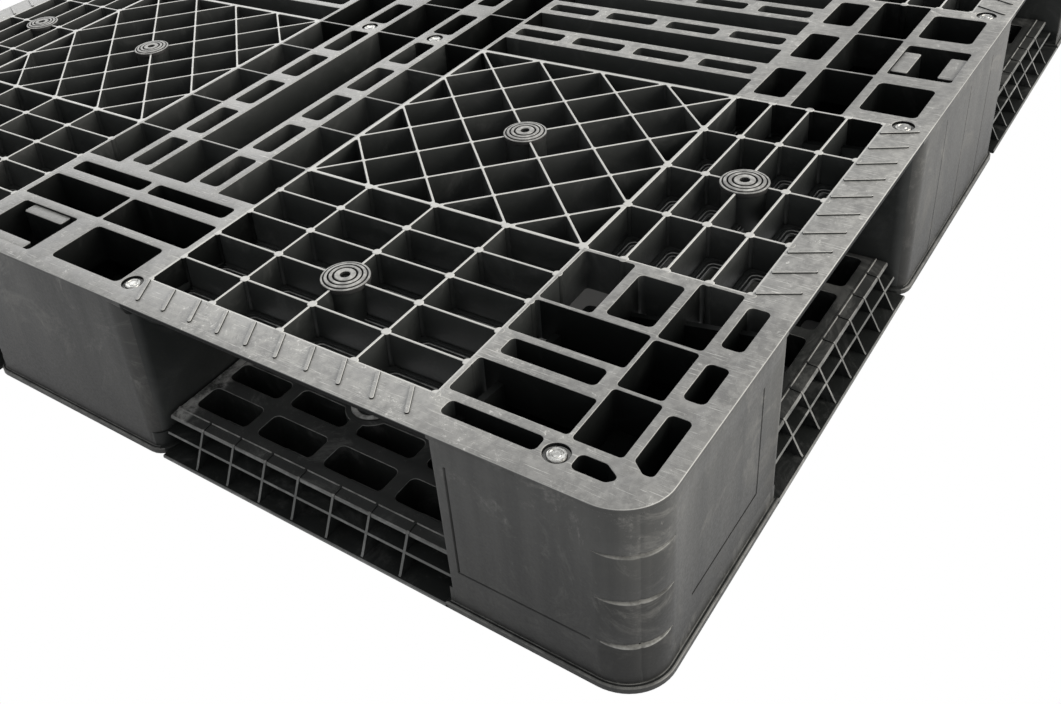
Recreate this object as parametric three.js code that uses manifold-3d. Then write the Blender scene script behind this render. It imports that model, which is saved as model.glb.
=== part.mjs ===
// A nine-leg, edge-rackable plastic pallet, 48 x 42 x 6 inches.
// It is two black mouldings, a deck with nine hollow legs and a bottom frame, held together by sixteen
// long bolts, with round anti-slip grommets pressed into both of them.
// Millimetres, +Z up. The origin is on the floor under the middle of the pallet.

import * as THREE from 'three';
import { mergeGeometries, mergeVertices } from 'three/addons/utils/BufferGeometryUtils.js';
import Module from 'manifold-3d';

const wasm = await Module();
wasm.setup();

// ---------------------------------------------------------------- driving dimensions

const LENGTH = 1219.2; // along X
const WIDTH = 1066.8; // along Y
const HEIGHT = 152.4;
const CORNER_RADIUS = 35;

// The deck is laid out on a grid. Depth is measured inwards from an end face (X),
// and across is measured inwards from a side face (Y).
const PITCH_X = 67;
const PITCH_Y = 66.4;
const FIELD_CELLS = 4; // grid cells along each edge of the open lattice fields
const CORNER_X = 216.7; // size of a corner block along X
const CORNER_Y = 159.4; // and along Y

const DECK_DEPTH = 33; // the deck lattice, from its top face to its underside
const PLATE = 4; // top plate of the flat bands
const RIB = 3;
const HEAVY_RIB = 4;
const LIP_FACE = 6; // height of the thin edge over a fork entry

const BOTTOM_HEIGHT = 33;
const SKIN = 3.4; // floor skin of the bottom frame
const LEG_SEAT = 19; // height of the seat that a leg stands on
const GAP = 0.3; // clearance where two pieces meet
const LEG_WALL = 4;
const LEG_INSET = 2; // legs stand back from the outline of the deck

const CORNER_LEG = { depth: 193, across: 144 };
const END_LEG = { depth: 150, across: 222 }; // middle of an end face
const SIDE_LEG = { depth: 160, across: 281 }; // middle of a side face

const halfX = LENGTH / 2;
const halfY = WIDTH / 2;
const deckUnderside = HEIGHT - DECK_DEPTH;
const fieldX = FIELD_CELLS * PITCH_X;
const fieldY = FIELD_CELLS * PITCH_Y;
const fieldEndX = CORNER_X + fieldX; // where the centre block begins along X
const fieldEndY = CORNER_Y + fieldY; // and along Y
const legUnderside = LEG_SEAT + GAP;
const SIDE_LEG_START = halfX - SIDE_LEG.across / 2;
const END_LEG_START = halfY - END_LEG.across / 2;

// ---------------------------------------------------------------- solids from three.js geometry

function toSolid(geometry) {
  const bare = geometry.clone();
  bare.deleteAttribute('normal');
  bare.deleteAttribute('uv');
  const merged = mergeVertices(bare, 1e-4);
  const index = merged.index.array;
  const solid = new wasm.Manifold(new wasm.Mesh({
    numProp: 3,
    vertProperties: Float32Array.from(merged.attributes.position.array),
    triVerts: Uint32Array.from(index),
  }));
  return solid;
}

function toGeometry(solid) {
  const mesh = solid.getMesh();
  const geometry = new THREE.BufferGeometry();
  geometry.setAttribute('position', new THREE.BufferAttribute(mesh.vertProperties, 3));
  geometry.setIndex(new THREE.BufferAttribute(mesh.triVerts, 1));
  geometry.computeVertexNormals();
  return geometry;
}

// A prism over an outline of [x, y] points, between two heights.
function prism(points, bottom, top) {
  const outline = points.map(([x, y]) => new THREE.Vector2(x, y));
  if (THREE.ShapeUtils.area(outline) < 0) outline.reverse();
  const shape = new THREE.Shape(outline);
  const geometry = new THREE.ExtrudeGeometry(shape, { depth: top - bottom, bevelEnabled: false });
  geometry.translate(0, 0, bottom);
  return geometry;
}

// Prisms that don't touch each other become one solid without a boolean.
function solidOf(geometries) {
  return toSolid(mergeGeometries(geometries));
}

// A regular polygon whose flats lie on a circle, so that a round piece of that radius fits in it.
function roundHole(x, y, radius, sides) {
  const corner = radius / Math.cos(Math.PI / sides);
  return Array.from({ length: sides }, (_, i) => {
    const angle = (2 * Math.PI * (i + 0.5)) / sides;
    return [x + corner * Math.cos(angle), y + corner * Math.sin(angle)];
  });
}

// ---------------------------------------------------------------- layout in one quadrant

// A rectangle runs from depth d0 to d1 and from across a0 to a1.
const rect = (d0, d1, a0, a1) => [[d0, a0], [d1, a0], [d1, a1], [d0, a1]];

// The same outline in the four quadrants, as [x, y] points.
function fourQuadrants(points) {
  const copies = [];
  for (const signX of [-1, 1]) {
    for (const signY of [-1, 1]) {
      copies.push(points.map(([depth, across]) => [signX * (halfX - depth), signY * (halfY - across)]));
    }
  }
  return copies;
}

// Outlines that lie on the middle line of an end face are only mirrored along X, and so on.
const twoEnds = (points) => [-1, 1].map((sign) =>
  points.map(([depth, across]) => [sign * (halfX - depth), halfY - across]));
const twoSides = (points) => [-1, 1].map((sign) =>
  points.map(([depth, across]) => [halfX - depth, sign * (halfY - across)]));
const onCentre = (points) => [points.map(([depth, across]) => [halfX - depth, halfY - across])];

// Every opening in the deck. Wells and slots go right through it, and the hollows under the plain
// lips are open below only.
const openings = [];
const lipHollows = [];

function addOpening(points, copies = fourQuadrants) {
  openings.push(...copies(points));
}

// Evenly spaced cells between two limits, with a rib between each two.
function cellEdges(start, end, count, rib = RIB) {
  const step = (end - start) / count;
  return Array.from({ length: count }, (_, i) => [
    start + i * step + rib / 2,
    start + (i + 1) * step - rib / 2,
  ]);
}

// -- the lattice field next to each end entry: five rows of four floored cells
const END_LIP = 32.8;
const SIDE_LIP = 34.3;
const END_ROWS = 5;
const SIDE_ROWS = 4;
const endFirstRow = 68;
const endRowStep = (CORNER_X - endFirstRow) / (END_ROWS - 1);
const sideFirstRow = 63.8;
const sideRowStep = (CORNER_Y - sideFirstRow) / (SIDE_ROWS - 1);

function rowEdges(lip, first, step, count) {
  const lines = [lip - RIB / 2];
  for (let i = 0; i < count; i += 1) lines.push(first + i * step);
  return lines.slice(0, -1).map((line, i) => [line + RIB / 2, lines[i + 1] - RIB / 2]);
}

const endRows = rowEdges(END_LIP, endFirstRow, endRowStep, END_ROWS);
const sideRows = rowEdges(SIDE_LIP, sideFirstRow, sideRowStep, SIDE_ROWS);
const acrossCells = cellEdges(CORNER_Y, fieldEndY, FIELD_CELLS);
const depthCells = cellEdges(CORNER_X, fieldEndX, FIELD_CELLS);

for (const [d0, d1] of endRows) {
  for (const [a0, a1] of acrossCells) addOpening(rect(d0, d1, a0, a1));
}
for (const [a0, a1] of sideRows) {
  for (const [d0, d1] of depthCells) addOpening(rect(d0, d1, a0, a1));
}

// -- hollows under the plain lips over the fork entries
lipHollows.push(...fourQuadrants(rect(RIB, END_LIP - RIB, CORNER_Y + RIB, fieldEndY - RIB)));
lipHollows.push(...fourQuadrants(rect(CORNER_X + RIB, fieldEndX - RIB, RIB, SIDE_LIP - RIB)));

// -- the square field of diagonal ribs: whole diamonds, and half ones along its edges
const diagonalRib = (RIB / 2) * Math.SQRT2;

function clipToField(points) {
  const low = [CORNER_X + HEAVY_RIB / 2, CORNER_Y + HEAVY_RIB / 2];
  const high = [fieldEndX - HEAVY_RIB / 2, fieldEndY - HEAVY_RIB / 2];
  let clipped = points;
  for (const axis of [0, 1]) {
    for (const [limit, side] of [[low[axis], 1], [high[axis], -1]]) {
      const inside = (point) => side * (point[axis] - limit) >= 0;
      const next = [];
      clipped.forEach((point, i) => {
        const other = clipped[(i + 1) % clipped.length];
        if (inside(point)) next.push(point);
        if (inside(point) !== inside(other)) {
          const t = (limit - point[axis]) / (other[axis] - point[axis]);
          next.push([point[0] + t * (other[0] - point[0]), point[1] + t * (other[1] - point[1])]);
        }
      });
      clipped = next;
    }
  }
  return clipped;
}

for (let i = 0; i <= 2 * FIELD_CELLS; i += 1) {
  for (let j = 0; j <= 2 * FIELD_CELLS; j += 1) {
    if ((i + j) % 2 === 1) {
      const depth = CORNER_X + (i * PITCH_X) / 2;
      const across = CORNER_Y + (j * PITCH_Y) / 2;
      const reachX = PITCH_X / 2 - diagonalRib;
      const reachY = PITCH_Y / 2 - diagonalRib;
      const diamond = [
        [depth - reachX, across], [depth, across - reachY],
        [depth + reachX, across], [depth, across + reachY],
      ];
      addOpening(clipToField(diamond));
    }
  }
}

// -- corner block: open wells, and slots in the flat bands
const cornerOpenings = [
  rect(41, 76.5, 70.5, 154), rect(40, 90, 35, 67.5), rect(110.5, 146.5, 71.5, 155.5),
  rect(94, 144, 37, 67.5), rect(151, 212.5, 111.5, 155.5), rect(148, 212.5, 37, 67.5),
  rect(87, 103, 79, 147.5), rect(159, 203.5, 77, 105), rect(20.5, 32.5, 81.5, 147.5),
  rect(102.5, 138.5, 15.5, 28.5), rect(158, 203.5, 16, 29.5),
  [[19, 35], [24, 30], [31, 40.5], [31, 56.5], [19, 56.5]], // the two slots next to the round
  [[35, 20], [42, 28], [85, 28], [85, 14.5], [35, 14.5]], // corner are cut at an angle
];
for (const points of cornerOpenings) addOpening(points);

// An H-shaped opening: a wide middle with a narrow slot across each end.
function addGripOpening(d0, d1, a0, a1, slotWidth, shelf, along, copies) {
  const outline = along === 'across'
    ? [[d0, a0], [d1, a0], [d1, a0 + slotWidth], [d1 - shelf, a0 + slotWidth], [d1 - shelf, a1 - slotWidth],
      [d1, a1 - slotWidth], [d1, a1], [d0, a1], [d0, a1 - slotWidth], [d0 + shelf, a1 - slotWidth],
      [d0 + shelf, a0 + slotWidth], [d0, a0 + slotWidth]]
    : [[d0, a0], [d0 + slotWidth, a0], [d0 + slotWidth, a0 + shelf], [d1 - slotWidth, a0 + shelf],
      [d1 - slotWidth, a0], [d1, a0], [d1, a1], [d1 - slotWidth, a1], [d1 - slotWidth, a1 - shelf],
      [d0 + slotWidth, a1 - shelf], [d0 + slotWidth, a1], [d0, a1]];
  addOpening(outline, copies);
}

// -- middle block of each end face
addOpening(rect(17.5, 66.5, 445, 526), twoEnds);
addGripOpening(13.5, 65.5, 550, 621.7, 11, 11, 'across', twoEnds);
addOpening(rect(75, 111, 431, 531.5));
addOpening(rect(123.5, 137.5, 440, 526));

// -- the arm from there to the centre block: cells, slotted band, open trough, slotted band, cells
const armStart = 150;
const band = { start: 470.5, end: 508.5, slotStart: 480, slotEnd: 500 };
const trough = [band.end, WIDTH - band.end];
const armLines = [armStart];
for (let i = 0; i <= FIELD_CELLS; i += 1) armLines.push(CORNER_X + i * PITCH_X);
const armCells = armLines.slice(1).map((line, i) => [armLines[i] + RIB / 2, line - RIB / 2]);
for (const [d0, d1] of armCells) {
  addOpening(rect(d0, d1, fieldEndY + HEAVY_RIB / 2, band.start));
  addOpening(rect(d0 + 7, d1 - 7, band.slotStart, band.slotEnd));
}
addOpening(rect(armStart + RIB / 2, CORNER_X - RIB / 2, ...trough), twoEnds);
addOpening(rect(CORNER_X + RIB / 2, fieldEndX - RIB / 2, ...trough), twoEnds);

// -- middle block of each side face
const SIDE_BLOCK_CELLS = 3;
const sideBlock = cellEdges(fieldEndX, LENGTH - fieldEndX, SIDE_BLOCK_CELLS);
addOpening(rect(502, 558, 16, 62));
addGripOpening(577, 642.2, 10, 63, 11, 14, 'depth', twoSides);
for (const [d0, d1] of sideBlock) {
  addOpening(rect(d0, d1, 70, 113.5), twoSides);
  addOpening(rect(d0 + 12, d1 - 12, 123.5, 151), twoSides);
}

// -- the arm from there to the centre block: three slotted bands with troughs beside them
const CROSS_BAND = { width: 36, step: 69.6, slot: 14 };
const crossBands = [-1, 0, 1].map((place) => halfX + place * CROSS_BAND.step);
for (const middle of crossBands) {
  for (const [a0, a1] of acrossCells) {
    addOpening(rect(middle - CROSS_BAND.slot / 2, middle + CROSS_BAND.slot / 2, a0 + 6, a1 - 6), twoSides);
  }
}
const troughSides = [
  fieldEndX + HEAVY_RIB / 2,
  ...crossBands.flatMap((middle) => [middle - CROSS_BAND.width / 2, middle + CROSS_BAND.width / 2]),
  LENGTH - fieldEndX - HEAVY_RIB / 2,
];
for (let i = 0; i < troughSides.length; i += 2) {
  const across = [CORNER_Y + HEAVY_RIB / 2, fieldEndY - HEAVY_RIB / 2];
  addOpening(rect(troughSides[i], troughSides[i + 1], ...across), twoSides);
}

// -- centre block: the two slotted bands run on through it, and the slots keep clear of its bolts
const centreSlotMargins = [[18, 10], [18, 10], [10, 18]];
sideBlock.forEach(([d0, d1], i) => {
  const [near, far] = centreSlotMargins[i];
  addOpening(rect(d0, d1, fieldEndY + HEAVY_RIB / 2, band.start), twoSides);
  addOpening(rect(d0 + near, d1 - far, band.slotStart, band.slotEnd), twoSides);
  addOpening(rect(d0, d1, ...trough), onCentre);
});

// ---------------------------------------------------------------- round features

const GROMMET = { radius: 18.7, disc: 4, stem: 7.5, hole: 3.5 };
const BOSS_WALL = 4;
const BOLT = { headRadius: 7.5, head: 3.2, shank: 4, end: 6 };
const COUNTERBORE = { radius: 9, depth: 4.2 };
const DISC_SIDES = 8;
const BORE_SIDES = 4; // bores and bosses are square in this coarse model, and their pieces are round

const grommetSpots = {
  end_field: [endFirstRow + endRowStep, CORNER_Y + fieldY / 2],
  side_field: [CORNER_X + fieldX / 2, sideFirstRow + sideRowStep],
  diagonal_field: [CORNER_X + fieldX / 2, CORNER_Y + fieldY / 2],
};

const boltSpots = {
  corner: [25, 69],
  end_block: [23.5, 434],
  side_block: [487, 21],
  centre: [492, 490],
};

const quadrants = [
  { name: 'front_left', x: -1, y: -1 }, { name: 'front_right', x: 1, y: -1 },
  { name: 'rear_left', x: -1, y: 1 }, { name: 'rear_right', x: 1, y: 1 },
];

// A spot given as depth and across, in one of the four quadrants.
const place = ([depth, across], quadrant) => [quadrant.x * (halfX - depth), quadrant.y * (halfY - across)];
const allPlaces = (spots) => spots.flatMap((spot) => quadrants.map((quadrant) => place(spot, quadrant)));
const cylinders = (spots, radius, sides, bottom, top) =>
  allPlaces(spots).map(([x, y]) => prism(roundHole(x, y, radius, sides), bottom, top));

// ---------------------------------------------------------------- the two mouldings

function outlineWithRoundCorners(inset, steps = 3) {
  const radius = CORNER_RADIUS - inset;
  const points = [];
  const centres = [[1, 1], [-1, 1], [-1, -1], [1, -1]];
  centres.forEach(([signX, signY], corner) => {
    for (let i = 0; i <= steps; i += 1) {
      const angle = (corner + i / steps) * (Math.PI / 2);
      const x = signX * (halfX - CORNER_RADIUS) + radius * Math.cos(angle);
      const y = signY * (halfY - CORNER_RADIUS) + radius * Math.sin(angle);
      points.push([x, y]);
    }
  });
  return points;
}

// The plan of the nine legs, grown or shrunk by an amount, as [x0, x1, y0, y1] boxes.
function legBoxes(grow) {
  const boxes = [];
  for (const sign of [-1, 1]) {
    const outerX = sign * halfX;
    const outerY = sign * halfY;
    for (const side of [-1, 1]) {
      boxes.push([
        outerX, sign * (halfX - CORNER_LEG.depth), side * halfY, side * (halfY - CORNER_LEG.across),
      ]);
    }
    boxes.push([outerX, sign * (halfX - END_LEG.depth), -END_LEG.across / 2, END_LEG.across / 2]);
    boxes.push([-SIDE_LEG.across / 2, SIDE_LEG.across / 2, outerY, sign * (halfY - SIDE_LEG.depth)]);
  }
  boxes.push([-SIDE_LEG.across / 2, SIDE_LEG.across / 2, -END_LEG.across / 2, END_LEG.across / 2]);
  return boxes.map(([x0, x1, y0, y1]) => [
    Math.min(x0, x1) - grow, Math.max(x0, x1) + grow, Math.min(y0, y1) - grow, Math.max(y0, y1) + grow,
  ]);
}

const boxOutline = ([x0, x1, y0, y1]) => [[x0, y0], [x1, y0], [x1, y1], [x0, y1]];

// A prism whose outline of [horizontal, height] points runs along Y or along X.
function bar(points, along, from, to) {
  const geometry = prism(points, 0, to - from);
  const up = new THREE.Vector3(0, 0, 1);
  const across = along === 'y' ? new THREE.Vector3(1, 0, 0) : new THREE.Vector3(0, 1, 0);
  const run = new THREE.Vector3().crossVectors(across, up);
  geometry.applyMatrix4(new THREE.Matrix4().makeBasis(across, up, run));
  if (along === 'y') geometry.translate(0, to, 0);
  else geometry.translate(from, 0, 0);
  return geometry;
}

// The eight fork entries: on each end face and each side face, one to each side of the middle leg.
const entries = [];
for (const sign of [-1, 1]) {
  for (const side of [-1, 1]) {
    const endLimits = [END_LEG.across / 2, halfY - CORNER_LEG.across].map((limit) => side * limit);
    entries.push({ along: 'y', half: halfX, sign, from: Math.min(...endLimits), to: Math.max(...endLimits) });
    const sideLimits = [SIDE_LEG.across / 2, halfX - CORNER_LEG.depth].map((limit) => side * limit);
    const [from, to] = [Math.min(...sideLimits), Math.max(...sideLimits)];
    entries.push({ along: 'x', half: halfY, sign, from, to });
  }
}

// A bar along a fork entry, from an outline of [depth, height] points.
function entryBar(entry, outline) {
  const points = outline.map(([depth, height]) => [entry.sign * (entry.half - depth), height]);
  return bar(points, entry.along, entry.from, entry.to);
}

const OVERSHOOT = 1; // how far a cutter runs past the face that it cuts

function makeDeck() {
  const top = HEIGHT + OVERSHOOT;
  const below = deckUnderside - OVERSHOOT;
  const slab = solidOf([prism(outlineWithRoundCorners(0), deckUnderside, HEIGHT)]);
  const wedges = entries.map((entry) => entryBar(entry, [
    [-OVERSHOOT, below], [END_LIP, below], [END_LIP, deckUnderside], [0, HEIGHT - LIP_FACE],
    [-OVERSHOOT, HEIGHT - LIP_FACE],
  ]));
  const lattice = slab
    .subtract(solidOf(openings.map((points) => prism(points, below, top))))
    .subtract(solidOf(lipHollows.map((points) => prism(points, below, HEIGHT - PLATE))))
    .subtract(solidOf(wedges));

  const legOutline = solidOf([prism(outlineWithRoundCorners(LEG_INSET), 0, HEIGHT)]);
  const insideOutline = solidOf([prism(outlineWithRoundCorners(LEG_INSET + LEG_WALL), 0, HEIGHT)]);
  const insideLegs = legBoxes(-LEG_WALL - LEG_INSET).map(boxOutline);
  const hollow = solidOf(insideLegs.map((outline) => prism(outline, 0, deckUnderside)));
  const legs = solidOf(legBoxes(0).map((box) => prism(boxOutline(box), legUnderside, deckUnderside)))
    .intersect(legOutline)
    .subtract(hollow.intersect(insideOutline));

  const grommetPlaces = Object.values(grommetSpots);
  const boltPlaces = Object.values(boltSpots);
  const seat = HEIGHT - GROMMET.disc - GAP;
  return lattice
    .add(legs)
    .add(solidOf(cylinders(grommetPlaces, GROMMET.stem + BOSS_WALL, BORE_SIDES, deckUnderside, seat)))
    .subtract(solidOf([
      ...cylinders(grommetPlaces, GROMMET.stem + GAP, BORE_SIDES, below, top),
      ...cylinders(boltPlaces, BOLT.shank + GAP, BORE_SIDES, below, top),
    ]))
    .subtract(solidOf([
      ...cylinders(grommetPlaces, GROMMET.radius + GAP, DISC_SIDES, seat, top),
      ...cylinders(boltPlaces, COUNTERBORE.radius, BORE_SIDES, HEIGHT - COUNTERBORE.depth, top),
    ]));
}

// ---------------------------------------------------------------- the bottom frame

const WINDOW = { d0: 152, d1: 458, a0: 147, a1: 412, cut: 20 };
const FRAME_SHIFT = 6.4; // the frame's grid stands this much nearer the corners than the deck's
const ENTRY_SLOPE_FOOT = 3.5; // the upright ribs of the frame lean back from the floor skin
const ENTRY_SLOPE_HEAD = 18;
const ENTRY_BACK = 25; // depth of the open pockets between those ribs
const FRAME_ROWS = [[35.5, 60], [73.5, 94.5]];
const FRAME_LONG_ROW = [113, 140];
const BAR_HALF = 6; // half the width of the bars between the frame's openings
const FRAME_BOSS = 22; // radius of the round bosses that carry the grommets of the frame
const FRAME_BOSS_SIDES = 16;
const BOLT_RIM = 37; // solid rim under each leg that holds the bolts

const frameGrommetSpots = {
  end_field: [grommetSpots.end_field[0], grommetSpots.end_field[1] - FRAME_SHIFT],
  side_field: [grommetSpots.side_field[0] - FRAME_SHIFT, grommetSpots.side_field[1]],
};

// Openings of the frame in a row along an end face or a side face.
const frameAcross = (count) =>
  cellEdges(CORNER_Y - FRAME_SHIFT, fieldEndY - FRAME_SHIFT, count, 2 * BAR_HALF);
const frameDepth = (count) =>
  cellEdges(CORNER_X - FRAME_SHIFT, fieldEndX - FRAME_SHIFT, count, 2 * BAR_HALF)
    .map(([start, end]) => [start, Math.min(end, SIDE_LEG_START - BAR_HALF)]);

function frameOpenings() {
  const cells = [];
  const { d0, d1, a0, a1, cut } = WINDOW;
  cells.push(...fourQuadrants([
    [d0 + cut, a0], [d1 - cut, a0], [d1, a0 + cut], [d1, a1 - cut],
    [d1 - cut, a1], [d0 + cut, a1], [d0, a1 - cut], [d0, a0 + cut],
  ]));
  const rows = FRAME_ROWS.map((row) => [row, FIELD_CELLS]);
  rows.push([FRAME_LONG_ROW, FIELD_CELLS / 2]);
  for (const [[near, far], count] of rows) {
    for (const [start, end] of frameAcross(count)) {
      cells.push(...fourQuadrants(rect(near, far, start, end)));
    }
    for (const [start, end] of frameDepth(count)) {
      cells.push(...fourQuadrants(rect(start, end, near, far)));
    }
  }
  return cells;
}

// Larger openings in the two beams that cross under the middle of the pallet.
function beamOpenings() {
  const cells = [];
  const beamRows = cellEdges(WINDOW.a1 + BAR_HALF, WIDTH - WINDOW.a1 - BAR_HALF, 2, 2 * BAR_HALF);
  const beamColumns = cellEdges(WINDOW.d1 + BAR_HALF, LENGTH - WINDOW.d1 - BAR_HALF, 2, 2 * BAR_HALF);
  for (const [a0, a1] of beamRows) {
    for (const [d0, d1] of cellEdges(END_LEG.depth + BAR_HALF, SIDE_LEG_START - BAR_HALF, 3, 2 * BAR_HALF)) {
      cells.push(...twoEnds(rect(d0, d1, a0, a1)));
    }
  }
  for (const [d0, d1] of beamColumns) {
    for (const [a0, a1] of cellEdges(SIDE_LEG.depth + BAR_HALF, END_LEG_START - BAR_HALF, 3, 2 * BAR_HALF)) {
      cells.push(...twoSides(rect(d0, d1, a0, a1)));
    }
  }
  return cells;
}

// Open pockets along a fork entry, between upright ribs at every half pitch of the frame's grid.
function entryPockets(entry) {
  const [first, pitch, half] = entry.along === 'y' ? [CORNER_Y, PITCH_Y, halfY] : [CORNER_X, PITCH_X, halfX];
  const step = pitch / 2;
  const side = Math.sign(entry.from);
  const edges = [entry.from, entry.to];
  for (let place = first - FRAME_SHIFT; place < half; place += step) {
    const rib = side * (half - place);
    if (rib > entry.from + step / 2 && rib < entry.to - step / 2) edges.push(rib);
  }
  edges.sort((a, b) => a - b);
  const top = BOTTOM_HEIGHT - PLATE;
  const outline = [[-OVERSHOOT, SKIN], [ENTRY_BACK, SKIN], [ENTRY_BACK, top], [-OVERSHOOT, top]];
  return edges.slice(1).map((end, i) =>
    entryBar({ ...entry, from: edges[i] + RIB / 2, to: end - RIB / 2 }, outline));
}

function makeFrame() {
  const above = BOTTOM_HEIGHT + OVERSHOOT;
  const block = solidOf([prism(outlineWithRoundCorners(0), 0, BOTTOM_HEIGHT)]);
  const through = [...frameOpenings(), ...beamOpenings()].map((points) => prism(points, -OVERSHOOT, above));
  const legSeats = legBoxes(GAP).map((box) => prism(boxOutline(box), LEG_SEAT, above));
  const underLegs = legBoxes(-BOLT_RIM).map((box) => prism(boxOutline(box), -OVERSHOOT, LEG_SEAT - PLATE));
  const slopes = entries.map((entry) => entryBar(entry, [
    [-OVERSHOOT, SKIN], [ENTRY_SLOPE_FOOT, SKIN], [ENTRY_SLOPE_HEAD, above], [-OVERSHOOT, above],
  ]));
  const grommetPlaces = Object.values(frameGrommetSpots);
  return block
    .subtract(solidOf(through))
    .add(solidOf(cylinders(grommetPlaces, FRAME_BOSS, FRAME_BOSS_SIDES, 0, BOTTOM_HEIGHT)))
    .subtract(solidOf(legSeats))
    .subtract(solidOf(slopes))
    .subtract(solidOf(entries.flatMap(entryPockets)))
    .subtract(solidOf(underLegs))
    .subtract(solidOf([
      ...cylinders(Object.values(boltSpots), BOLT.shank + GAP, BORE_SIDES, BOLT.end - GAP, above),
      ...cylinders(grommetPlaces, GROMMET.stem + GAP, BORE_SIDES, -OVERSHOOT, above),
    ]))
    .subtract(solidOf(
      cylinders(grommetPlaces, GROMMET.radius + GAP, DISC_SIDES, -OVERSHOOT, GROMMET.disc + GAP),
    ));
}

// ---------------------------------------------------------------- turned pieces

// A profile of [radius, height] points turned about Z.
function turned(profile, sides) {
  const points = profile.map(([radius, height]) => new THREE.Vector2(radius, height));
  return new THREE.LatheGeometry(points, sides).rotateX(Math.PI / 2);
}

// A grommet is a disc with a hollow stem, so its profile closes on itself around the hole.
function makeGrommet(length) {
  return turned([
    [GROMMET.hole, 0], [GROMMET.hole, -length], [GROMMET.stem, -length], [GROMMET.stem, -GROMMET.disc],
    [GROMMET.radius, -GROMMET.disc], [GROMMET.radius, 0], [GROMMET.hole, 0],
  ], DISC_SIDES);
}

function makeBolt() {
  const underHead = HEIGHT - COUNTERBORE.depth + GAP;
  return turned([
    [0, BOLT.end], [BOLT.shank, BOLT.end], [BOLT.shank, underHead], [BOLT.headRadius, underHead],
    [BOLT.headRadius, underHead + BOLT.head], [0, underHead + BOLT.head],
  ], DISC_SIDES);
}

// ---------------------------------------------------------------- materials and assembly

const deckPlastic = () => new THREE.MeshStandardMaterial({ color: 0x3a3b39, roughness: 0.55, metalness: 0 });
const framePlastic = () => new THREE.MeshStandardMaterial({ color: 0x262726, roughness: 0.6, metalness: 0 });
const grommetRubber = () => new THREE.MeshStandardMaterial({ color: 0x555653, roughness: 0.7, metalness: 0 });
const zincSteel = () => new THREE.MeshStandardMaterial({ color: 0xb8b9b6, roughness: 0.3, metalness: 1 });

const pallet = new THREE.Group();

function addMesh(name, geometry, material, x = 0, y = 0, z = 0) {
  const mesh = new THREE.Mesh(geometry, material);
  mesh.name = name;
  mesh.position.set(x, y, z);
  pallet.add(mesh);
  return mesh;
}

addMesh('top_deck', toGeometry(makeDeck()), deckPlastic());
addMesh('bottom_frame', toGeometry(makeFrame()), framePlastic());

const topGrommet = makeGrommet(DECK_DEPTH - OVERSHOOT);
const bottomGrommet = makeGrommet(BOTTOM_HEIGHT - OVERSHOOT).rotateX(Math.PI);
const bolt = makeBolt();

for (const quadrant of quadrants) {
  for (const [field, spot] of Object.entries(grommetSpots)) {
    const [x, y] = place(spot, quadrant);
    addMesh(`top_grommet_${field}_${quadrant.name}`, topGrommet, grommetRubber(), x, y, HEIGHT);
  }
  for (const [field, spot] of Object.entries(frameGrommetSpots)) {
    const [x, y] = place(spot, quadrant);
    addMesh(`bottom_grommet_${field}_${quadrant.name}`, bottomGrommet, grommetRubber(), x, y, 0);
  }
  for (const [site, spot] of Object.entries(boltSpots)) {
    const [x, y] = place(spot, quadrant);
    addMesh(`bolt_${site}_${quadrant.name}`, bolt, zincSteel(), x, y, 0);
  }
}

export default pallet;
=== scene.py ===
import math

import bpy
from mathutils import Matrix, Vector, geometry


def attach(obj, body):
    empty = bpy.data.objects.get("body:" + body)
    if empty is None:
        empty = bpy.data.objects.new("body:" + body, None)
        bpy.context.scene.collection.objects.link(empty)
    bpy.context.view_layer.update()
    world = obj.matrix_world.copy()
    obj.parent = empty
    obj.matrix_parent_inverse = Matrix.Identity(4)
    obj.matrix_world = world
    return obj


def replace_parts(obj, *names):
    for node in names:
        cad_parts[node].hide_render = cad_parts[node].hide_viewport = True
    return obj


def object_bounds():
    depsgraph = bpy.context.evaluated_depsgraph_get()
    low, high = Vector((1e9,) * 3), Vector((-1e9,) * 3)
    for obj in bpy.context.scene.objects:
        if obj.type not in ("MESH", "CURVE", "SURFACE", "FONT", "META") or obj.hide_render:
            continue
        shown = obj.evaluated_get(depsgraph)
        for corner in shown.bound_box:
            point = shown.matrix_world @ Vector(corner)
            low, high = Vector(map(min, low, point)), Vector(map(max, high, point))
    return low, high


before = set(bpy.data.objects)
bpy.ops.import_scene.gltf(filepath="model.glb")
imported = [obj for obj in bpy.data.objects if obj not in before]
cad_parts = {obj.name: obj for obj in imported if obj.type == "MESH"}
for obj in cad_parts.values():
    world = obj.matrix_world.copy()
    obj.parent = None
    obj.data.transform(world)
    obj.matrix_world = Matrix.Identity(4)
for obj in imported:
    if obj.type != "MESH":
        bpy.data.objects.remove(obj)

# A plastic pallet: a deck moulding with nine hollow legs on a bottom frame, with grommets and bolts.
# Layout sizes are in millimetres. A point in the plan is (d, a): depth inwards from an end face (X)
# and across inwards from a side face (Y). It is laid out in one quadrant and mirrored to the others.

cad_low, cad_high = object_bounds()
MM = 0.001

# ---------------- sizes

HALF_X = cad_high.x / MM
HALF_Y = cad_high.y / MM
TOP = cad_high.z / MM
CORNER_RADIUS = 35

PITCH_X = 67
PITCH_Y = 66.4
CELLS = 4
CORNER_X = 216.7
CORNER_Y = 159.4
FIELD_END_X = CORNER_X + CELLS * PITCH_X
FIELD_END_Y = CORNER_Y + CELLS * PITCH_Y

DECK_DEPTH = 33
DECK_LOW = TOP - DECK_DEPTH
LIP_FACE = 3.8
RIB = 2.0
HEAVY_RIB = 4.4
END_LIP = 32.8
SIDE_LIP = 34.3

FRAME_TOP = 33
SKIN = 3.4
LEG_SEAT = 19
LEG_LOW = 7.4
LEG_WALL = 4
LEG_INNER = LEG_WALL + 1
OUTSIDE_BAND = 3
DRAFT = 0.02

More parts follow.
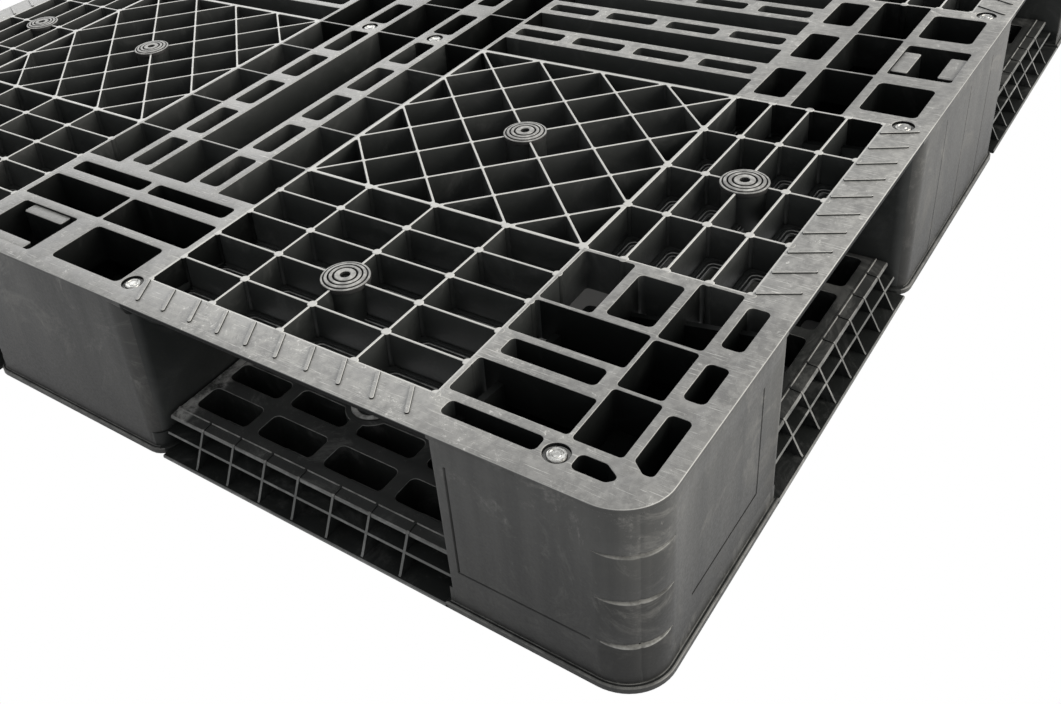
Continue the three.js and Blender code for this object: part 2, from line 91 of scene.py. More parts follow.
CORNER_LEG = (193, 144)
END_LEG = (150, 222)
SIDE_LEG = (160, 281)
END_LEG_START = HALF_Y - END_LEG[1] / 2
SIDE_LEG_START = HALF_X - SIDE_LEG[1] / 2

QUADRANTS = {"front_left": (-1, -1), "front_right": (1, -1), "rear_left": (-1, 1), "rear_right": (1, 1)}


# ---------------- outlines

def rect(d0, d1, a0, a1):
    """A rectangle from depth d0 to d1 and from across a0 to a1."""
    return [(d0, a0), (d1, a0), (d1, a1), (d0, a1)]


def area(loop):
    """Positive for a loop that runs anticlockwise."""
    total = 0
    for (x0, y0), (x1, y1) in zip(loop, loop[1:] + loop[:1]):
        total += x0 * y1 - x1 * y0
    return total / 2


def turned_round(loop, clockwise):
    """The loop in the direction asked for."""
    if (area(loop) < 0) == clockwise:
        return list(loop)
    return list(reversed(loop))


def unit(x, y):
    length = math.hypot(x, y) or 1
    return x / length, y / length


FILLET_SHARE = 0.49  # of an edge, so that the arcs at its two ends never meet


def fillet(loop, radius, steps=4):
    """Rounds the corners of a loop. The radius is one number, or one for each corner."""
    count = len(loop)
    radii = radius if isinstance(radius, (list, tuple)) else [radius] * count
    points = []
    for i, (x, y) in enumerate(loop):
        before, after = loop[i - 1], loop[(i + 1) % count]
        ax, ay = unit(before[0] - x, before[1] - y)
        bx, by = unit(after[0] - x, after[1] - y)
        cosine = max(-1, min(1, ax * bx + ay * by))
        half = math.acos(cosine) / 2
        # a corner that is nearly folded back or nearly straight stays as it is
        if radii[i] <= 0 or half < 0.05 or half > math.pi / 2 - 0.02:
            points.append((x, y))
            continue
        room = FILLET_SHARE * min(math.dist(before, (x, y)), math.dist(after, (x, y)))
        reach = min(radii[i] / math.tan(half), room)
        r = reach * math.tan(half)
        mx, my = unit(ax + bx, ay + by)
        centre = (x + mx * r / math.sin(half), y + my * r / math.sin(half))
        start = (x + ax * reach, y + ay * reach)
        end = (x + bx * reach, y + by * reach)
        t0 = math.atan2(start[1] - centre[1], start[0] - centre[0])
        t1 = math.atan2(end[1] - centre[1], end[0] - centre[0])
        turn = (t1 - t0 + math.pi) % (2 * math.pi) - math.pi
        for k in range(steps + 1):
            t = t0 + turn * k / steps
            points.append((centre[0] + r * math.cos(t), centre[1] + r * math.sin(t)))
    return points


def offset(loop, amount):
    """Moves every edge of a loop to its left by an amount."""
    count = len(loop)
    normals = []
    for i, (x, y) in enumerate(loop):
        dx, dy = unit(loop[(i + 1) % count][0] - x, loop[(i + 1) % count][1] - y)
        normals.append((-dy, dx))
    moved = []
    for i, (x, y) in enumerate(loop):
        (ax, ay), (bx, by) = normals[i - 1], normals[i]
        cross = ax * by - ay * bx
        if abs(cross) < 1e-6:
            moved.append((x + ax * amount, y + ay * amount))
        else:
            moved.append((x + amount * (by - ay) / cross, y + amount * (ax - bx) / cross))
    return moved


def placed(loop, quadrant):
    """A loop given as depth and across, as x and y in one quadrant."""
    sx, sy = quadrant
    return [(sx * (HALF_X - d), sy * (HALF_Y - a)) for d, a in loop]


def four(loop):
    """Copies of a loop in the four quadrants."""
    return [placed(loop, quadrant) for quadrant in QUADRANTS.values()]


def two_ends(loop):
    """Copies of a loop at the two end faces, for what isn't mirrored along Y."""
    return [placed(loop, (sign, -1)) for sign in (-1, 1)]


def two_sides(loop):
    """Copies of a loop at the two side faces, for what isn't mirrored along X."""
    return [placed(loop, (-1, sign)) for sign in (-1, 1)]


def on_centre(loop):
    """The one place of a loop that isn't mirrored."""
    return [placed(loop, (-1, -1))]


def circle(x, y, radius, count):
    """Points round a circle, anticlockwise."""
    step = 2 * math.pi / count
    return [(x + radius * math.cos(i * step), y + radius * math.sin(i * step)) for i in range(count)]


# ---------------- closed shells

class Shells:
    """Closed shells, in millimetres, that become one mesh."""

    def __init__(self):
        self.points = []
        self.faces = []

    def add(self, points, faces):
        base = len(self.points)
        self.points.extend(points)
        self.faces.extend([tuple(base + i for i in face) for face in faces])

    def slab(self, outer, holes, outer_wall, hole_wall=None):
        """A plate with holes. A wall is a list of (inset, height) from the bottom edge to the top."""
        loops = [(turned_round(outer, False), outer_wall)]
        for hole in holes:
            loops.append((turned_round(hole, True), hole_wall or outer_wall))
        points, faces, first, last = [], [], [], []
        for loop, wall in loops:
            rings = []
            for inset, height in wall:
                ring = offset(loop, inset) if inset else loop
                rings.append(list(range(len(points), len(points) + len(ring))))
                points.extend((x, y, height) for x, y in ring)
            for low, high in zip(rings, rings[1:]):
                for i in range(len(low)):
                    j = (i + 1) % len(low)
                    faces.append((low[i], low[j], high[j], high[i]))
            first.append(rings[0])
            last.append(rings[-1])
        for rings, up in ((first, False), (last, True)):
            flat = [i for ring in rings for i in ring]
            for corners in fill([[points[i][:2] for i in ring] for ring in rings]):
                face = tuple(flat[corner] for corner in corners)
                faces.append(face if up else face[::-1])
        self.add(points, faces)

    def bar(self, outline, along, start, end):
        """A prism of an outline of (horizontal, height) points that runs along X or Y."""
        outline = turned_round(outline, along == "x")
        count = len(outline)
        points = []
        for place in (start, end):
            for across, height in outline:
                points.append((place, across, height) if along == "x" else (across, place, height))
        faces = [(i, (i + 1) % count, count + (i + 1) % count, count + i) for i in range(count)]
        faces = [face[::-1] for face in faces]
        faces.append(tuple(range(count)))
        faces.append(tuple(reversed(range(count, 2 * count))))
        self.add(points, faces)

    def lathe(self, x, y, profile, sides):
        """A closed profile of (radius, height) points turned about an upright line."""
        points, rings = [], []
        for radius, height in profile:
            if radius == 0:
                rings.append([len(points)] * sides)
                points.append((x, y, height))
                continue
            rings.append(list(range(len(points), len(points) + sides)))
            points.extend((px, py, height) for px, py in circle(x, y, radius, sides))
        faces = []
        pairs = list(zip(rings, rings[1:]))
        if profile[0][0] > 0:
            pairs.append((rings[-1], rings[0]))
        for low, high in pairs:
            for i in range(sides):
                j = (i + 1) % sides
                face = []
                for index in (low[i], low[j], high[j], high[i]):
                    if index not in face:
                        face.append(index)
                if len(face) > 2:
                    faces.append(tuple(face))
        self.add(points, faces)


def inside(point, loop):
    """Whether a point lies inside a loop."""
    x, y = point
    crossings = 0
    for (x0, y0), (x1, y1) in zip(loop, loop[1:] + loop[:1]):
        if (y0 > y) != (y1 > y) and x < x0 + (y - y0) / (y1 - y0) * (x1 - x0):
            crossings += 1
    return crossings % 2 == 1


def fill(rings):
    """Triangles between an outer ring and the holes in it. Indices count through all rings."""
    points, edges, ring_of = [], [], []
    for number, ring in enumerate(rings):
        base = len(points)
        points.extend(Vector(p) for p in ring)
        edges.extend((base + i, base + (i + 1) % len(ring)) for i in range(len(ring)))
        ring_of.extend([number] * len(ring))
    _, _, faces, origins, _, _ = geometry.delaunay_2d_cdt(points, edges, [], 1, 1e-5, True)
    if any(not origin for origin in origins):
        raise ValueError("two outlines cross")
    result = []
    for face in faces:
        a, b, c = (origins[i][0] for i in face)
        pa, pb, pc = points[a], points[b], points[c]
        if ring_of[a] == ring_of[b] == ring_of[c]:
            number = ring_of[a]
            if inside((pa + pb + pc) / 3, rings[number]) == (number > 0):
                continue
        twice = (pb.x - pa.x) * (pc.y - pa.y) - (pb.y - pa.y) * (pc.x - pa.x)
        result.append((a, b, c) if twice > 0 else (a, c, b))
    return result


def rounded_top(low, high, radius):
    """A plain wall with a rounded top edge."""
    steps = 3
    wall = [(0, low)]
    for k in range(steps + 1):
        t = k / steps * math.pi / 2
        wall.append((radius * (1 - math.cos(t)), high - radius * (1 - math.sin(t))))
    return wall


SMOOTH_ANGLE = 26


def make_object(name, shells, materials, choose=None):
    """choose() gives the number of a face's material from its middle and normal, in millimetres."""
    mesh = bpy.data.meshes.new(name)
    mesh.from_pydata([(x * MM, y * MM, z * MM) for x, y, z in shells.points], [], shells.faces)
    mesh.validate()
    for material in materials:
        mesh.materials.append(material)
    if choose:
        for polygon in mesh.polygons:
            polygon.material_index = choose(polygon.center / MM, polygon.normal)
    mesh.polygons.foreach_set("use_smooth", [True] * len(mesh.polygons))
    mesh.set_sharp_from_angle(angle=math.radians(SMOOTH_ANGLE))
    piece = bpy.data.objects.new(name, mesh)
    bpy.context.scene.collection.objects.link(piece)
    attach(piece, "root")
    return piece


# ---------------- openings of the deck

END_FIRST, END_ROWS = 68, 5
SIDE_FIRST, SIDE_ROWS = 63.8, 4
END_STEP = (CORNER_X - END_FIRST) / (END_ROWS - 1)
SIDE_STEP = (CORNER_Y - SIDE_FIRST) / (SIDE_ROWS - 1)
end_lines = [END_LIP] + [END_FIRST + i * END_STEP for i in range(END_ROWS)]
side_lines = [SIDE_LIP] + [SIDE_FIRST + i * SIDE_STEP for i in range(SIDE_ROWS)]
depth_lines = [CORNER_X + i * PITCH_X for i in range(CELLS + 1)]
across_lines = [CORNER_Y + i * PITCH_Y for i in range(CELLS + 1)]


def between(lines):
    """The spans between each two ribs that stand on the lines."""
    return [(a + RIB / 2, b - RIB / 2) for a, b in zip(lines, lines[1:])]


end_cells = [rect(d0, d1, a0, a1) for d0, d1 in between(end_lines) for a0, a1 in between(across_lines)]
side_cells = [rect(d0, d1, a0, a1) for d0, d1 in between(depth_lines) for a0, a1 in between(side_lines)]

openings = []
CELL_ROUND = 1.6
WELL_ROUND = 2.8
SLOT_ROUND = 4
SLOT_GROW = 0.7


def cut(loop, radius, copies=four):
    """Adds an opening with rounded corners, and its mirror copies."""
    openings.extend(copies(fillet(loop, radius)))


for cell in end_cells + side_cells:
    cut(cell, CELL_ROUND)


def clipped(loop, low, high):
    """The part of a convex loop between two corners of a rectangle."""
    for axis in (0, 1):
        for limit, side in ((low[axis], 1), (high[axis], -1)):
            kept = []
            for point, other in zip(loop, loop[1:] + loop[:1]):
                keeps = side * (point[axis] - limit) >= 0
                if keeps:
                    kept.append(point)
                if keeps != (side * (other[axis] - limit) >= 0):
                    t = (limit - point[axis]) / (other[axis] - point[axis])
                    kept.append(tuple(p + t * (q - p) for p, q in zip(point, other)))
            loop = kept
    return [point for i, point in enumerate(loop) if math.dist(point, loop[i - 1]) > 0.01]


diagonal_rib = RIB / 2 * math.sqrt(2)
field_low = (CORNER_X + HEAVY_RIB / 2, CORNER_Y + HEAVY_RIB / 2)
field_high = (FIELD_END_X - HEAVY_RIB / 2, FIELD_END_Y - HEAVY_RIB / 2)
diamond_x, diamond_y = PITCH_X / 2 - diagonal_rib, PITCH_Y / 2 - diagonal_rib


def field_place(i, j):
    """Depth and across of a point on the half pitches of the diagonal field."""
    return CORNER_X + i * PITCH_X / 2, CORNER_Y + j * PITCH_Y / 2


for i in range(2 * CELLS + 1):
    for j in range(2 * CELLS + 1):
        if (i + j) % 2 == 0:
            continue
        d, a = field_place(i, j)
        diamond = [(d - diamond_x, a), (d, a - diamond_y), (d + diamond_x, a), (d, a + diamond_y)]
        cut(clipped(diamond, field_low, field_high), CELL_ROUND)

# the corner block
corner_wells = [
    rect(41, 76.5, 70.8, 156), rect(39.5, 90.5, 35, 67.8), rect(110, 147.2, 71, 157),
    rect(93.5, 144.6, 37, 68), rect(150.2, 214.2, 116.5, 157), rect(147.6, 214, 37, 68),
]
corner_slots = [
    rect(87, 103, 79, 147.5), rect(155, 204.5, 75.5, 108), rect(20.5, 32.5, 81.5, 147.5),
    rect(102.5, 138.5, 15.5, 28.5), rect(158, 203.5, 16, 29.5),
    [(19, 35), (24, 30), (31, 40.5), (31, 56.5), (19, 56.5)],
    [(35, 20), (42, 28), (85, 28), (85, 14.5), (35, 14.5)],
]
for well in corner_wells:
    cut(well, WELL_ROUND)
for slot in corner_slots:
    cut(offset(turned_round(slot, True), SLOT_GROW), SLOT_ROUND)

# the middle block of each end face, with its grip opening
END_GRIP = (13.5, 65.5, 550, 621.7)
SIDE_GRIP = (577, 642.2, 10, 63)
GRIP_SLOT = 11
END_SHELF = 11
SIDE_SHELF = 14
FACE_WELL_ROUND = 5
GRIP_ROUND = 3
cut(rect(17.5, 66.5, 445, 526), FACE_WELL_ROUND, two_ends)
cut(rect(*END_GRIP), GRIP_ROUND, two_ends)
cut(rect(75, 111, 431, 531.5), WELL_ROUND)
cut(rect(122.5, 138.5, 436.5, 529.5), SLOT_ROUND)

# the arm from there to the centre block
ARM_START = 150
BAND = (470.5, 508.5)
BAND_SLOT = (478.3, 501.7)
arm_lines = [ARM_START] + depth_lines
SLOT_MARGIN = 7
TROUGH = (BAND[1], 2 * HALF_Y - BAND[1])
ARM_CELL = (FIELD_END_Y + HEAVY_RIB / 2, BAND[0])
for d0, d1 in between(arm_lines):
    cut(rect(d0, d1, *ARM_CELL), CELL_ROUND)
    cut(rect(d0 + SLOT_MARGIN, d1 - SLOT_MARGIN, *BAND_SLOT), SLOT_ROUND)
cut(rect(ARM_START + RIB / 2, CORNER_X - RIB / 2, *TROUGH), CELL_ROUND, two_ends)
cut(rect(CORNER_X + RIB / 2, FIELD_END_X - RIB / 2, *TROUGH), CELL_ROUND, two_ends)

# the middle block of each side face
BLOCK_CELLS = 3
BLOCK_MARGIN = 12
block_step = (2 * HALF_X - 2 * FIELD_END_X) / BLOCK_CELLS
block_cells = between([FIELD_END_X + i * block_step for i in range(BLOCK_CELLS + 1)])
cut(rect(502, 558, 16, 62), FACE_WELL_ROUND)
cut(rect(*SIDE_GRIP), GRIP_ROUND, two_sides)
for d0, d1 in block_cells:
    cut(rect(d0, d1, 70, 113.5), WELL_ROUND, two_sides)
    cut(rect(d0 + BLOCK_MARGIN, d1 - BLOCK_MARGIN, 123.5, 151), SLOT_ROUND, two_sides)

# the arm from there to the centre block: three slotted bands with troughs beside them
CROSS_BAND = 36
CROSS_STEP = 69.6
CROSS_SLOT = 17
CROSS_MARGIN = 6
trough_sides = [FIELD_END_X + HEAVY_RIB / 2]
for k in (-1, 0, 1):
    middle = HALF_X + k * CROSS_STEP
    d0, d1 = middle - CROSS_SLOT / 2, middle + CROSS_SLOT / 2
    for a0, a1 in between(across_lines):
        cut(rect(d0, d1, a0 + CROSS_MARGIN, a1 - CROSS_MARGIN), SLOT_ROUND, two_sides)
    trough_sides.extend([middle - CROSS_BAND / 2, middle + CROSS_BAND / 2])
trough_sides.append(2 * HALF_X - FIELD_END_X - HEAVY_RIB / 2)
for d0, d1 in zip(trough_sides[::2], trough_sides[1::2]):
    cut(rect(d0, d1, field_low[1], field_high[1]), CELL_ROUND, two_sides)

# the centre block, whose slots keep clear of the bolts at both ends
CENTRE_SLOT_MARGINS = ((18, 10), (18, 10), (10, 18))
for (d0, d1), (near, far) in zip(block_cells, CENTRE_SLOT_MARGINS):
    cut(rect(d0, d1, *ARM_CELL), CELL_ROUND, two_sides)
    cut(rect(d0 + near, d1 - far, *BAND_SLOT), SLOT_ROUND, two_sides)
    cut(rect(d0, d1, *TROUGH), CELL_ROUND, on_centre)

grommet_spots = {
    "end_field": (END_FIRST + END_STEP, CORNER_Y + 2 * PITCH_Y),
    "side_field": (CORNER_X + 2 * PITCH_X, SIDE_FIRST + SIDE_STEP),
    "diagonal_field": (CORNER_X + 2 * PITCH_X, CORNER_Y + 2 * PITCH_Y),
}
bolt_spots = {"corner": (25, 69), "end_block": (23.5, 434), "side_block": (487, 21), "centre": (492, 490)}
COUNTERBORE = 8.6
COUNTERBORE_DEPTH = 2.9
GROMMET_RADIUS = 18.7

# ---------------- deck moulding

def outline_corner():
    """The round corner of the pallet, from the end face to the side face."""
    steps = 14
    points = []
    for k in range(steps + 1):
        t = k / steps * math.pi / 2
        points.append((CORNER_RADIUS * (1 - math.cos(t)), CORNER_RADIUS * (1 - math.sin(t))))
    return points


def around(quarter):
    """A closed loop from a quarter of it that starts on one middle line and ends on the other."""
    points = []
    for quadrant, forward in (((-1, -1), True), ((1, -1), False), ((1, 1), True), ((-1, 1), False)):
        part = placed(quarter, quadrant)
        points.extend(part if forward else part[::-1])
    following = points[1:] + points[:1]
    return [point for point, other in zip(points, following) if math.dist(point, other) > 1e-3]


def entry_bar(shells, outline, along, quadrant, start, end):
    """A bar of an outline of (depth, height) points. It runs along an end face ("y") or a side face
    ("x"), between two places that are measured from the quadrant's corner."""
    sx, sy = quadrant
    if along == "y":
        low, high = sorted(sy * (HALF_Y - place) for place in (start, end))
        shells.bar([(sx * (HALF_X - depth), height) for depth, height in outline], along, low, high)
    else:
        low, high = sorted(sx * (HALF_X - place) for place in (start, end))
        shells.bar([(sy * (HALF_Y - depth), height) for depth, height in outline], along, low, high)


deck = Shells()
EDGE_ROUND = 1.1
RIB_ROUND = 0.7
lip_low = TOP - LIP_FACE
deck_outline = around(
    [(0, HALF_Y), (0, END_LEG_START), (0, CORNER_LEG[1])] + outline_corner()
    + [(CORNER_LEG[0], 0), (SIDE_LEG_START, 0), (HALF_X, 0)])
bolt_places = [copy[0] for spot in bolt_spots.values() for copy in four([spot])]
bores = [circle(x, y, COUNTERBORE, 32) for x, y in bolt_places]
deck.slab(deck_outline, openings + bores, rounded_top(lip_low, TOP, EDGE_ROUND),
          rounded_top(DECK_LOW, TOP, RIB_ROUND))

# floors of the counterbores
BOLT_HOLE = 4.5
FLOOR_THICKNESS = 6
floor_level = TOP - COUNTERBORE_DEPTH
for x, y in bolt_places:
    deck.slab(circle(x, y, COUNTERBORE + 1, 32), [circle(x, y, BOLT_HOLE, 16)],
              [(0, floor_level - FLOOR_THICKNESS), (0, floor_level)])

# stepped ledges at the bottom of the cells, as (distance from the cell's wall, height)
LEDGE = [(6, 0), (6, 2), (5.5, 2.5), (4.2, 2.6), (4.2, 3.7), (3.7, 4.2), (2.4, 4.3), (2.4, 5.6)]
LEDGE_ROUND = 3
LEDGE_INTO_RIB = 0.6
ledge_foot, ledge_height = LEDGE[0][0], LEDGE[-1][1]
hole_wall = [(ledge_foot - inset, DECK_LOW + height) for inset, height in LEDGE]
for cell in end_cells + side_cells:
    for outer in four(cell):
        loop = turned_round(outer, False)
        floor_hole = fillet(offset(loop, ledge_foot), LEDGE_ROUND)
        deck.slab(offset(loop, -LEDGE_INTO_RIB), [floor_hole],
                  [(0, DECK_LOW), (0, DECK_LOW + ledge_height)], hole_wall)

# small round bosses where ribs cross, and the seats of the grommets
BOSS = 3.6
SMALL_BOSS = 2.3
seat_outer, seat_inner, seat_top = GROMMET_RADIUS - 1.2, 9, TOP - 3
GROMMET_SEAT = [
    (seat_inner, DECK_LOW), (seat_outer, DECK_LOW), (seat_outer, seat_top), (seat_inner, seat_top)]


def boss_profile(radius, height):
    """A round boss that stands a height over the deck's top."""
    top = TOP + height
    return [(radius, DECK_LOW), (radius, top - 0.4), (radius - 0.5, top), (0, top), (0, DECK_LOW)]


crossings = [(d, a) for d in end_lines for a in across_lines]
crossings += [(d, a) for d in depth_lines for a in side_lines]
crossings = [spot for spot in dict.fromkeys(crossings) if spot not in grommet_spots.values()]
inner_steps = range(1, 2 * CELLS)
small_crossings = [
    field_place(i, j) for i in inner_steps for j in inner_steps
    if (i + j) % 2 == 0 and (i, j) != (CELLS, CELLS)]
for quadrant in QUADRANTS.values():
    for x, y in placed(crossings, quadrant):
        deck.lathe(x, y, boss_profile(BOSS, 0.25), 20)
    for x, y in placed(small_crossings, quadrant):
        deck.lathe(x, y, boss_profile(SMALL_BOSS, 0.15), 16)
    for x, y in placed(grommet_spots.values(), quadrant):
        deck.lathe(x, y, GROMMET_SEAT, 40)

# anti-slip bars on the lips
SLIP_WIDTH = 3.2
SLIP_HEIGHT = 1.4
SLIP_COUNT = 10
SLIP_STEP = 27.5
SLIP_INSET = 1.5
END_SLIP = {"first": 176, "outer": 9.4, "lean": -11.6}
SIDE_SLIP = {"first": 219.1, "outer": 8, "lean": 13.4}
slip_wall = [(0, TOP - 0.5), (0.2, TOP + SLIP_HEIGHT - 0.3), (0.6, TOP + SLIP_HEIGHT)]


def slip_bar(start, end):
    """The outline of a low bar from one point to another, round at the far end."""
    dx, dy = unit(end[0] - start[0], end[1] - start[1])
    half = SLIP_WIDTH / 2
    nx, ny = -dy * half, dx * half
    loop = [(start[0] + nx, start[1] + ny)]
    steps = 6
    first = math.atan2(ny, nx)
    for k in range(steps + 1):
        t = first - math.pi * k / steps
        loop.append((end[0] + half * math.cos(t), end[1] + half * math.sin(t)))
    loop.append((start[0] - nx, start[1] - ny))
    return loop


for quadrant in QUADRANTS.values():
    for k in range(SLIP_COUNT):
        for lip, slip, on_end in ((END_LIP, END_SLIP, True), (SIDE_LIP, SIDE_SLIP, False)):
            along = slip["first"] + SLIP_STEP * k
            loop = slip_bar((lip - SLIP_INSET, along), (slip["outer"], along + slip["lean"]))
            if not on_end:
                loop = [(depth, across) for across, depth in loop]
            deck.slab(placed(loop, quadrant), [], slip_wall)

# a thin bead and gussets under the lips
BEAD = [
    (1.8, lip_low - 1.5), (1.3, lip_low - 1), (1.3, lip_low + 0.5), (4, lip_low + 0.5), (4, lip_low - 1.5)]
INTO_LEG = 2
for quadrant in QUADRANTS.values():
    entry_bar(deck, BEAD, "y", quadrant, CORNER_LEG[1] - INTO_LEG, END_LEG_START + INTO_LEG)
    entry_bar(deck, BEAD, "x", quadrant, CORNER_LEG[0] - INTO_LEG, SIDE_LEG_START + INTO_LEG)
for quadrant in QUADRANTS.values():
    for k in range(2 * CELLS + 1):
        depth, across = field_place(k, k)
        for along, back, place in (("y", END_LIP, across), ("x", SIDE_LIP, depth)):
            gusset = [(3, lip_low + 1), (back, DECK_LOW - 3), (back, lip_low + 1)]
            entry_bar(deck, gusset, along, quadrant, place - RIB / 2, place + RIB / 2)

# shelves of the grip openings
SHELF_DROP = 2.2
SHELF_ROUND = 2
INTO_WALL = 0.5
d0, d1, a0, a1 = END_GRIP
shelves = [
    (rect(d0 - INTO_WALL, d0 + END_SHELF, a0 + GRIP_SLOT, a1 - GRIP_SLOT), two_ends),
    (rect(d1 - END_SHELF, d1 + INTO_WALL, a0 + GRIP_SLOT, a1 - GRIP_SLOT), two_ends)]
d0, d1, a0, a1 = SIDE_GRIP
shelves += [
    (rect(d0 + GRIP_SLOT, d1 - GRIP_SLOT, a0 - INTO_WALL, a0 + SIDE_SHELF), two_sides),
    (rect(d0 + GRIP_SLOT, d1 - GRIP_SLOT, a1 - SIDE_SHELF, a1 + INTO_WALL), two_sides)]
for loop, copies in shelves:
    for shelf in copies(fillet(loop, SHELF_ROUND)):
        deck.slab(shelf, [], rounded_top(DECK_LOW, TOP - SHELF_DROP, 1))

# ---------------- legs

ROUND_STEPS = 8
WIDE_ROUND_STEPS = 18
MID_LEG_ROUND = 16
WIDE_ROUND = 20  # a corner with a larger radius than this is an outer corner of the pallet
INNER_ROUND = 6
SMALL_ROUND = 4
LEG_TOP_INSIDE = DECK_LOW + 3
LEG_BEND = 112  # above this height a leg's levels are drawn down where its top is lower than the lip
ARC_HEIGHTS = (115.8, 78.2, 40.8)
ARC_REACH = 4
CORNER_SOFT = 3
LONG_SPAN = 10

# A relief is (u0, u1, z0, z1, depth, soft): sunk between two places and two heights, with a slope
# around it. A place is a distance along a face, or an angle in degrees round a corner.
arcs = []
for z in ARC_HEIGHTS:
    arcs.append((2, 88, z - 1.7, z - 0.2, 1.9, 0.5))
    arcs.append((2, 88, z - 1.2, z + 1.4, 0.8, 2.6))
PARTING_LINE = (46.5, 47.5, 0, 200, 0.5, 1)


def ramp(value, low, high, soft):
    """1 between two limits, falling to 0 over a soft distance outside them."""
    return max(0, 1 - max(low - value, value - high, 0) / soft)


def leg_top(x, y):
    """Height of a leg's wall, which follows the underside of the lip inwards to the lattice."""
    depth, across = HALF_X - abs(x), HALF_Y - abs(y)
    inwards = min(depth / END_LIP, across / SIDE_LIP)
    if inwards >= 1:
        return LEG_TOP_INSIDE
    if min(depth, across) < 1 or max(depth, across) < CORNER_RADIUS:
        return lip_low
    return lip_low - (lip_low - LEG_TOP_INSIDE) * inwards


def leg_columns(box, radii, reliefs):
    """The upright lines of a leg's outside, as (x, y, normal, face or corner, place)."""
    x0, x1, y0, y1 = box
    corners = [(x0, y0), (x1, y0), (x1, y1), (x0, y1)]
    directions = [(1, 0), (0, 1), (-1, 0), (0, -1)]
    columns = []
    for face in range(4):
        corner_x, corner_y = corners[face]
        dx, dy = directions[face]
        px, py = directions[face - 1]
        normal, before = (dy, -dx), (py, -px)
        radius = radii[face]
        centre_x, centre_y = corner_x + (dx - px) * radius, corner_y + (dy - py) * radius
        steps = WIDE_ROUND_STEPS if radius > WIDE_ROUND else ROUND_STEPS
        angles = {k / steps * 90 for k in range(steps + 1)}
        for relief in reliefs[face + 4]:
            angles.update(relief[:2])
        for angle in sorted(angles):
            cosine, sine = math.cos(math.radians(angle)), math.sin(math.radians(angle))
            nx, ny = before[0] * cosine + normal[0] * sine, before[1] * cosine + normal[1] * sine
            columns.append((centre_x + nx * radius, centre_y + ny * radius, (nx, ny), face + 4, angle))
        end = math.dist(corners[face], corners[(face + 1) % 4]) - radii[(face + 1) % 4]
        stops = set()
        for u0, u1, _, _, _, soft in reliefs[face]:
            stops.update(u for u in (u0 - soft, u0, u1, u1 + soft) if radius < u < end)
        for u in sorted(stops):
            columns.append((corner_x + dx * u, corner_y + dy * u, normal, face, u))
    return columns


def relief_depth(reliefs, u, z, on_corner):
    """How far a point is sunk by the reliefs of its face. On a corner, long ones fade to their ends."""
    sunk = 0
    for u0, u1, z0, z1, depth, soft in reliefs:
        share = min(ramp(u, u0, u1, CORNER_SOFT if on_corner else soft), ramp(z, z0, z1, soft))
        if on_corner and u1 - u0 > LONG_SPAN:
            share *= max(0.0, math.sin(math.pi * u / 90)) ** 0.5
        sunk += depth * share
    return sunk


def pinched(z, angle):
    """Draws the edges of an arc groove together towards the ends of the round corner."""
    for middle in ARC_HEIGHTS:
        if abs(z - middle) < ARC_REACH:
            return middle + (z - middle) * max(0.12, math.sin(math.pi * angle / 90)) ** 0.6
    return z


def leg(shells, box, radii, reliefs=()):
    """A hollow leg on a box (x0, x1, y0, y1). Its faces go in the order -Y, +X, +Y, -X. The radii are
    those of the corners at the start of each face. The reliefs are those of the four faces, then of
    the four corners."""
    reliefs = reliefs or [[]] * 8
    levels = {LEG_LOW, lip_low}
    for _, _, z0, z1, _, soft in sum(reliefs, []):
        levels.update(z for z in (z0 - soft, z0, z1, z1 + soft) if LEG_LOW < z < lip_low)
    levels = sorted(levels)
    columns = leg_columns(box, radii, reliefs)
    points = []
    for x, y, (nx, ny), face, u in columns:
        top = leg_top(x, y)
        on_corner = face >= 4
        on_outside = min(HALF_X - abs(x), HALF_Y - abs(y)) < OUTSIDE_BAND or on_corner
        draft = DRAFT if on_outside else -DRAFT
        for z in levels:
            sunk = draft * (lip_low - z) + relief_depth(reliefs[face], u, z, on_corner)
            height = pinched(z, u) if on_corner and radii[face - 4] > WIDE_ROUND else z
            if z > LEG_BEND and top < lip_low:
                height = LEG_BEND + (z - LEG_BEND) * (top - LEG_BEND) / (lip_low - LEG_BEND)
            points.append((x - nx * sunk, y - ny * sunk, height))
        for z in (top, LEG_LOW):
            points.append((x - nx * LEG_INNER, y - ny * LEG_INNER, z))
    size = len(levels) + 2
    faces = []
    for column in range(len(columns)):
        this, following = column * size, (column + 1) % len(columns) * size
        for k in range(size):
            m = (k + 1) % size
            faces.append((this + k, following + k, following + m, this + m))
    shells.add(points, faces)


# the panel lines on a corner leg: the place of the upright line, the start and height of the step
# that runs to its lower end, and the depth of the step
SIDE_PANEL = (158, 62, 40.4, 2.0)
END_PANEL = (133, 40, 38.4, 1.0)
PANEL_TOP = 129.4
RECESS_TOP = 137
legs = Shells()


